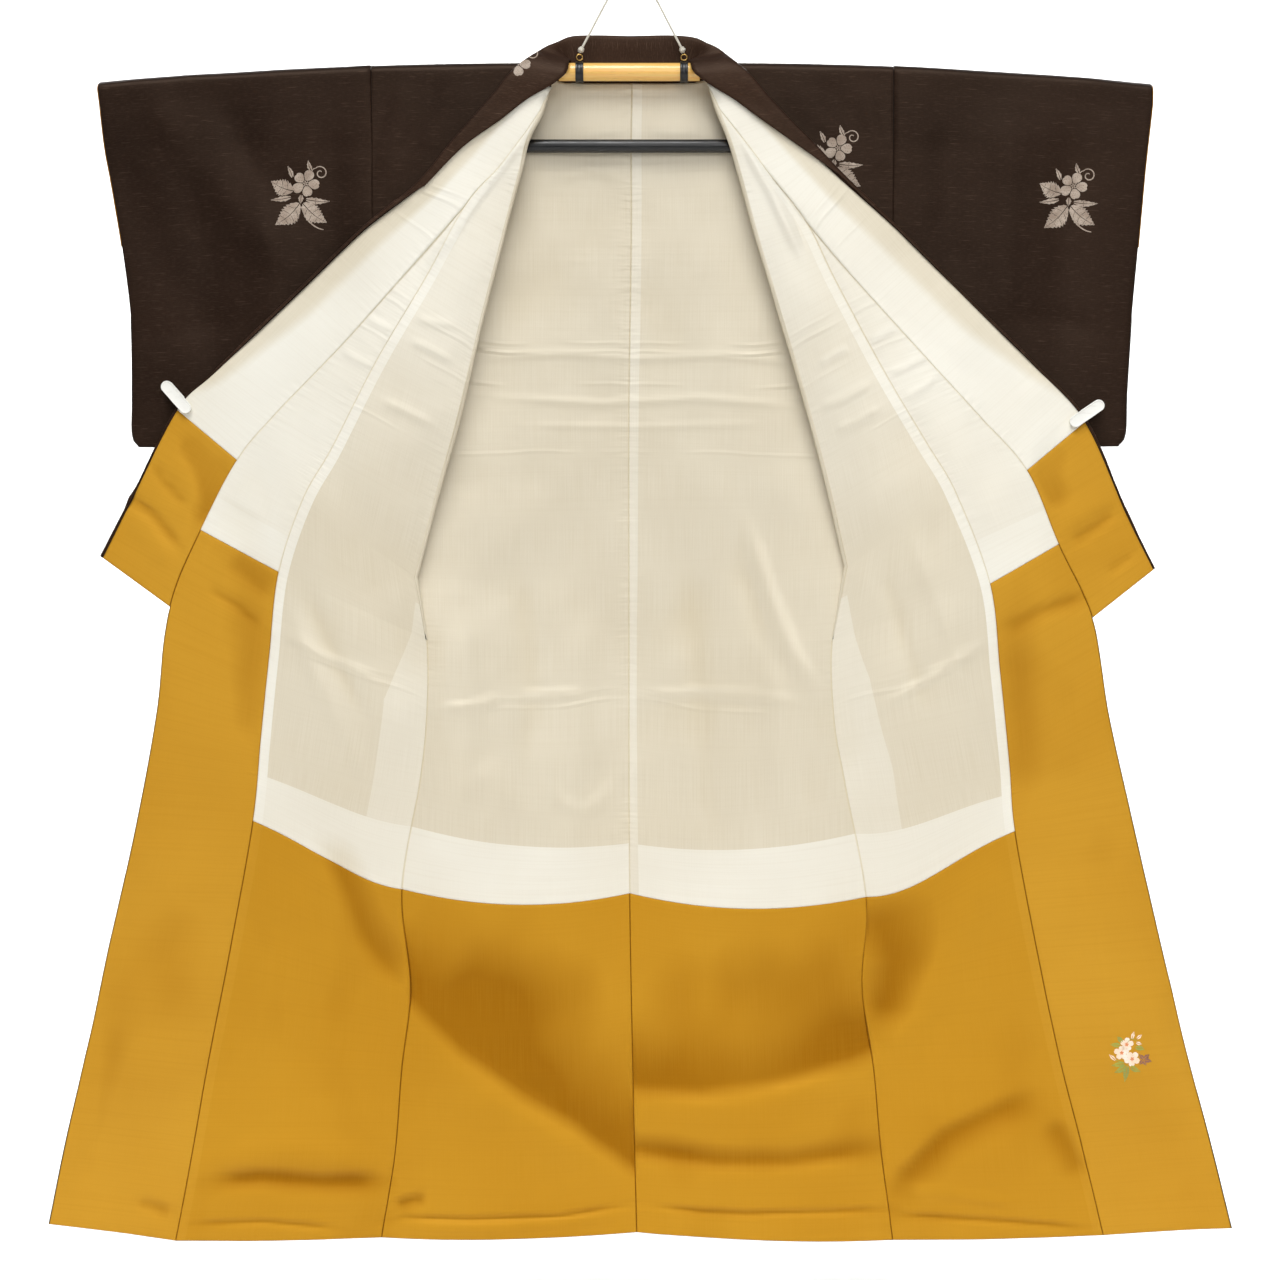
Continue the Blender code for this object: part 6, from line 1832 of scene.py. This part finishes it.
sprayPlaces = (  # sheet, side (-1 front, 1 back), place in mm, turn in degrees
    ("silk_outer_sleeve_left", -1, (-420, -300), 0), ("silk_outer_sleeve_right", -1, (553, -303), 0),
    ("silk_outer_front_right", -1, (255, -256), 2), ("silk_outer_collar", -1, (-152, -150), 0),
    ("silk_outer_sleeve_left", 1, (-520, -420), 4), ("silk_outer_sleeve_right", 1, (455, -360), -3),
    ("silk_outer_back_left", 1, (-175, -300), 0), ("silk_outer_back_right", 1, (120, -520), 3),
    ("silk_outer_back_left", 1, (-110, -760), -3), ("silk_outer_back_right", 1, (205, -900), 0),
    ("silk_outer_back_left", 1, (-220, -1130), 3), ("silk_outer_back_right", 1, (95, -1300), -2),
)
sprays = []
trees = {}
for number, (sheet, toward, place, turn) in enumerate(sprayPlaces, 1):
    if (sheet, toward) not in trees:
        trees[sheet, toward] = facingTree(sheet, toward)
    parts = bloomParts if "collar" in sheet else wovenParts  # the collar's spray is cut off by its fold
    tree, name = trees[sheet, toward], f"woven_spray_{number}"
    sprays.append(layOn(name, tree, toward, (parts,), place, turn, (paleThread,)))
    sprays[-1]["sheet"] = sheet
painted = "silk_hem_overlap_right"
paints = (peachPaint, greenPaint, coralPaint, plumPaint)
sprays.append(layOn("painted_spray_hem", facingTree(painted, -1), -1, tuple(paintedParts.values()),
                    (629, -1390), 0, paints))
sprays[-1]["sheet"] = painted
for piece in sprays:
    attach(piece, "root")
print("stage: sprays,", sum(len(piece.data.polygons) for piece in sprays), "faces")


# the backdrop leaves room to look from behind
stagePlan = {"half": 7, "front": -3.0, "back": 4.9, "floor": -1.86, "top": 5.0}
lightPlan = {  # place, target, width and height in metres, watts
    "front_softbox": ((0.5, -3.6, 0.5), (0, 0, -0.8), 2.6, 2.0, 41),
    "backdrop_left": ((-2.0, 2.6, 2.2), (-0.8, stagePlan["back"], -0.7), 2.0, 1.6, 120),
    "backdrop_right": ((2.0, 2.6, 2.2), (0.8, stagePlan["back"], -0.7), 2.0, 1.6, 120),
}
skyPlan = {"sun": 2.5, "spread": 34, "from": (-0.12, -1.0, 1.5), "world": 0.08}


# floor, backdrop and soft studio light
def stageSheet(name, corners, tone):
    made = meshObject(name, corners, [(0, 1, 2, 3)], smooth=False)
    plain, tree, shader = newMaterial(name + "_paint", Roughness=0.9)
    place = addNode(tree, "TexCoord").outputs["Object"]
    mottle = streaks(tree, place, (3.0, 3.0, 3.0), 3.0)
    tone = blend(tree, ramp(tree, mottle, 0.3, 0.7), tone, linear(252, 252, 252))
    tree.links.new(tone, shader.inputs["Base Color"])
    made.data.materials.append(plain)


# the stage's edge at this depth and height, from left to right
def acrossStage(y, z):
    return [(-stagePlan["half"], y, z), (stagePlan["half"], y, z)]


nearEdge = acrossStage(stagePlan["front"], stagePlan["floor"])
farEdge = acrossStage(stagePlan["back"], stagePlan["floor"])
topEdge = acrossStage(stagePlan["back"], stagePlan["top"])
stageSheet("pale_floor", nearEdge + farEdge[::-1], linear(238, 238, 237))
stageSheet("pale_backdrop", farEdge + topEdge[::-1], linear(248, 248, 248))


def addLamp(data, place, target):
    lamp = bpy.data.objects.new(data.name, data)
    lamp.location = place
    lamp.rotation_euler = (Vector(target) - Vector(place)).to_track_quat("-Z", "Y").to_euler()
    bpy.context.collection.objects.link(lamp)
    return lamp


for name, (place, target, width, height, power) in lightPlan.items():
    lampData = bpy.data.lights.new(name, "AREA")
    lampData.shape, lampData.size, lampData.size_y, lampData.energy = "RECTANGLE", width, height, power
    addLamp(lampData, place, target)
sunData = bpy.data.lights.new("high_key", "SUN")
sunData.energy, sunData.angle = skyPlan["sun"], math.radians(skyPlan["spread"])
addLamp(sunData, skyPlan["from"], (0, 0, 0)).location = (0, 0, 0)
world = bpy.data.worlds.new("studio")
world.use_nodes = True
world.node_tree.nodes["Background"].inputs["Color"].default_value = (1.0, 1.0, 1.0, 1.0)
world.node_tree.nodes["Background"].inputs["Strength"].default_value = skyPlan["world"]
bpy.context.scene.view_settings.view_transform = "Standard"
bpy.context.scene.world = world
print("stage: light")


cuts = {  # cut of what shows of each panel: width, length and area in metres, and what it hangs from
    "outer_back": (0.330, 1.490, 0.455, "rod"), "outer_front": (0.268, 1.506, 0.343, "rod"),
    "outer_overlap": (0.165, 1.270, 0.160, "outer_front"), "outer_sleeve": (0.340, 0.990, 0.310, "rod"),
    "outer_collar": (0.128, 1.980, 0.193, "outer_back_left"),
    "lining_back": (0.330, 1.048, 0.320, "outer_back"),
    "hem_lining_back": (0.326, 0.446, 0.131, "outer_back"),
    "lining_front": (0.234, 1.062, 0.226, "outer_front"),
    "hem_lining_front": (0.268, 0.446, 0.117, "outer_front"),
    "lining_overlap": (0.112, 0.510, 0.0305, "outer_overlap"),
    "hem_lining_overlap": (0.171, 0.762, 0.1285, "outer_overlap"),
    "lining_collar": (0.100, 0.580, 0.0455, "outer_collar"),
    "hem_lining_collar": (0.104, 0.212, 0.0198, "outer_collar"),
    "mouth_facing": (0.018, 0.456, 0.0080, "outer_sleeve"),
}
for node, piece in garment.items():
    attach(piece, "root")
    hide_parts(node)
    panel, _, side = node.rpartition("_")
    width, length, area, under = cuts.get(node, cuts.get(panel))
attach(hangingCord, "root")
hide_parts("hanging_cord")
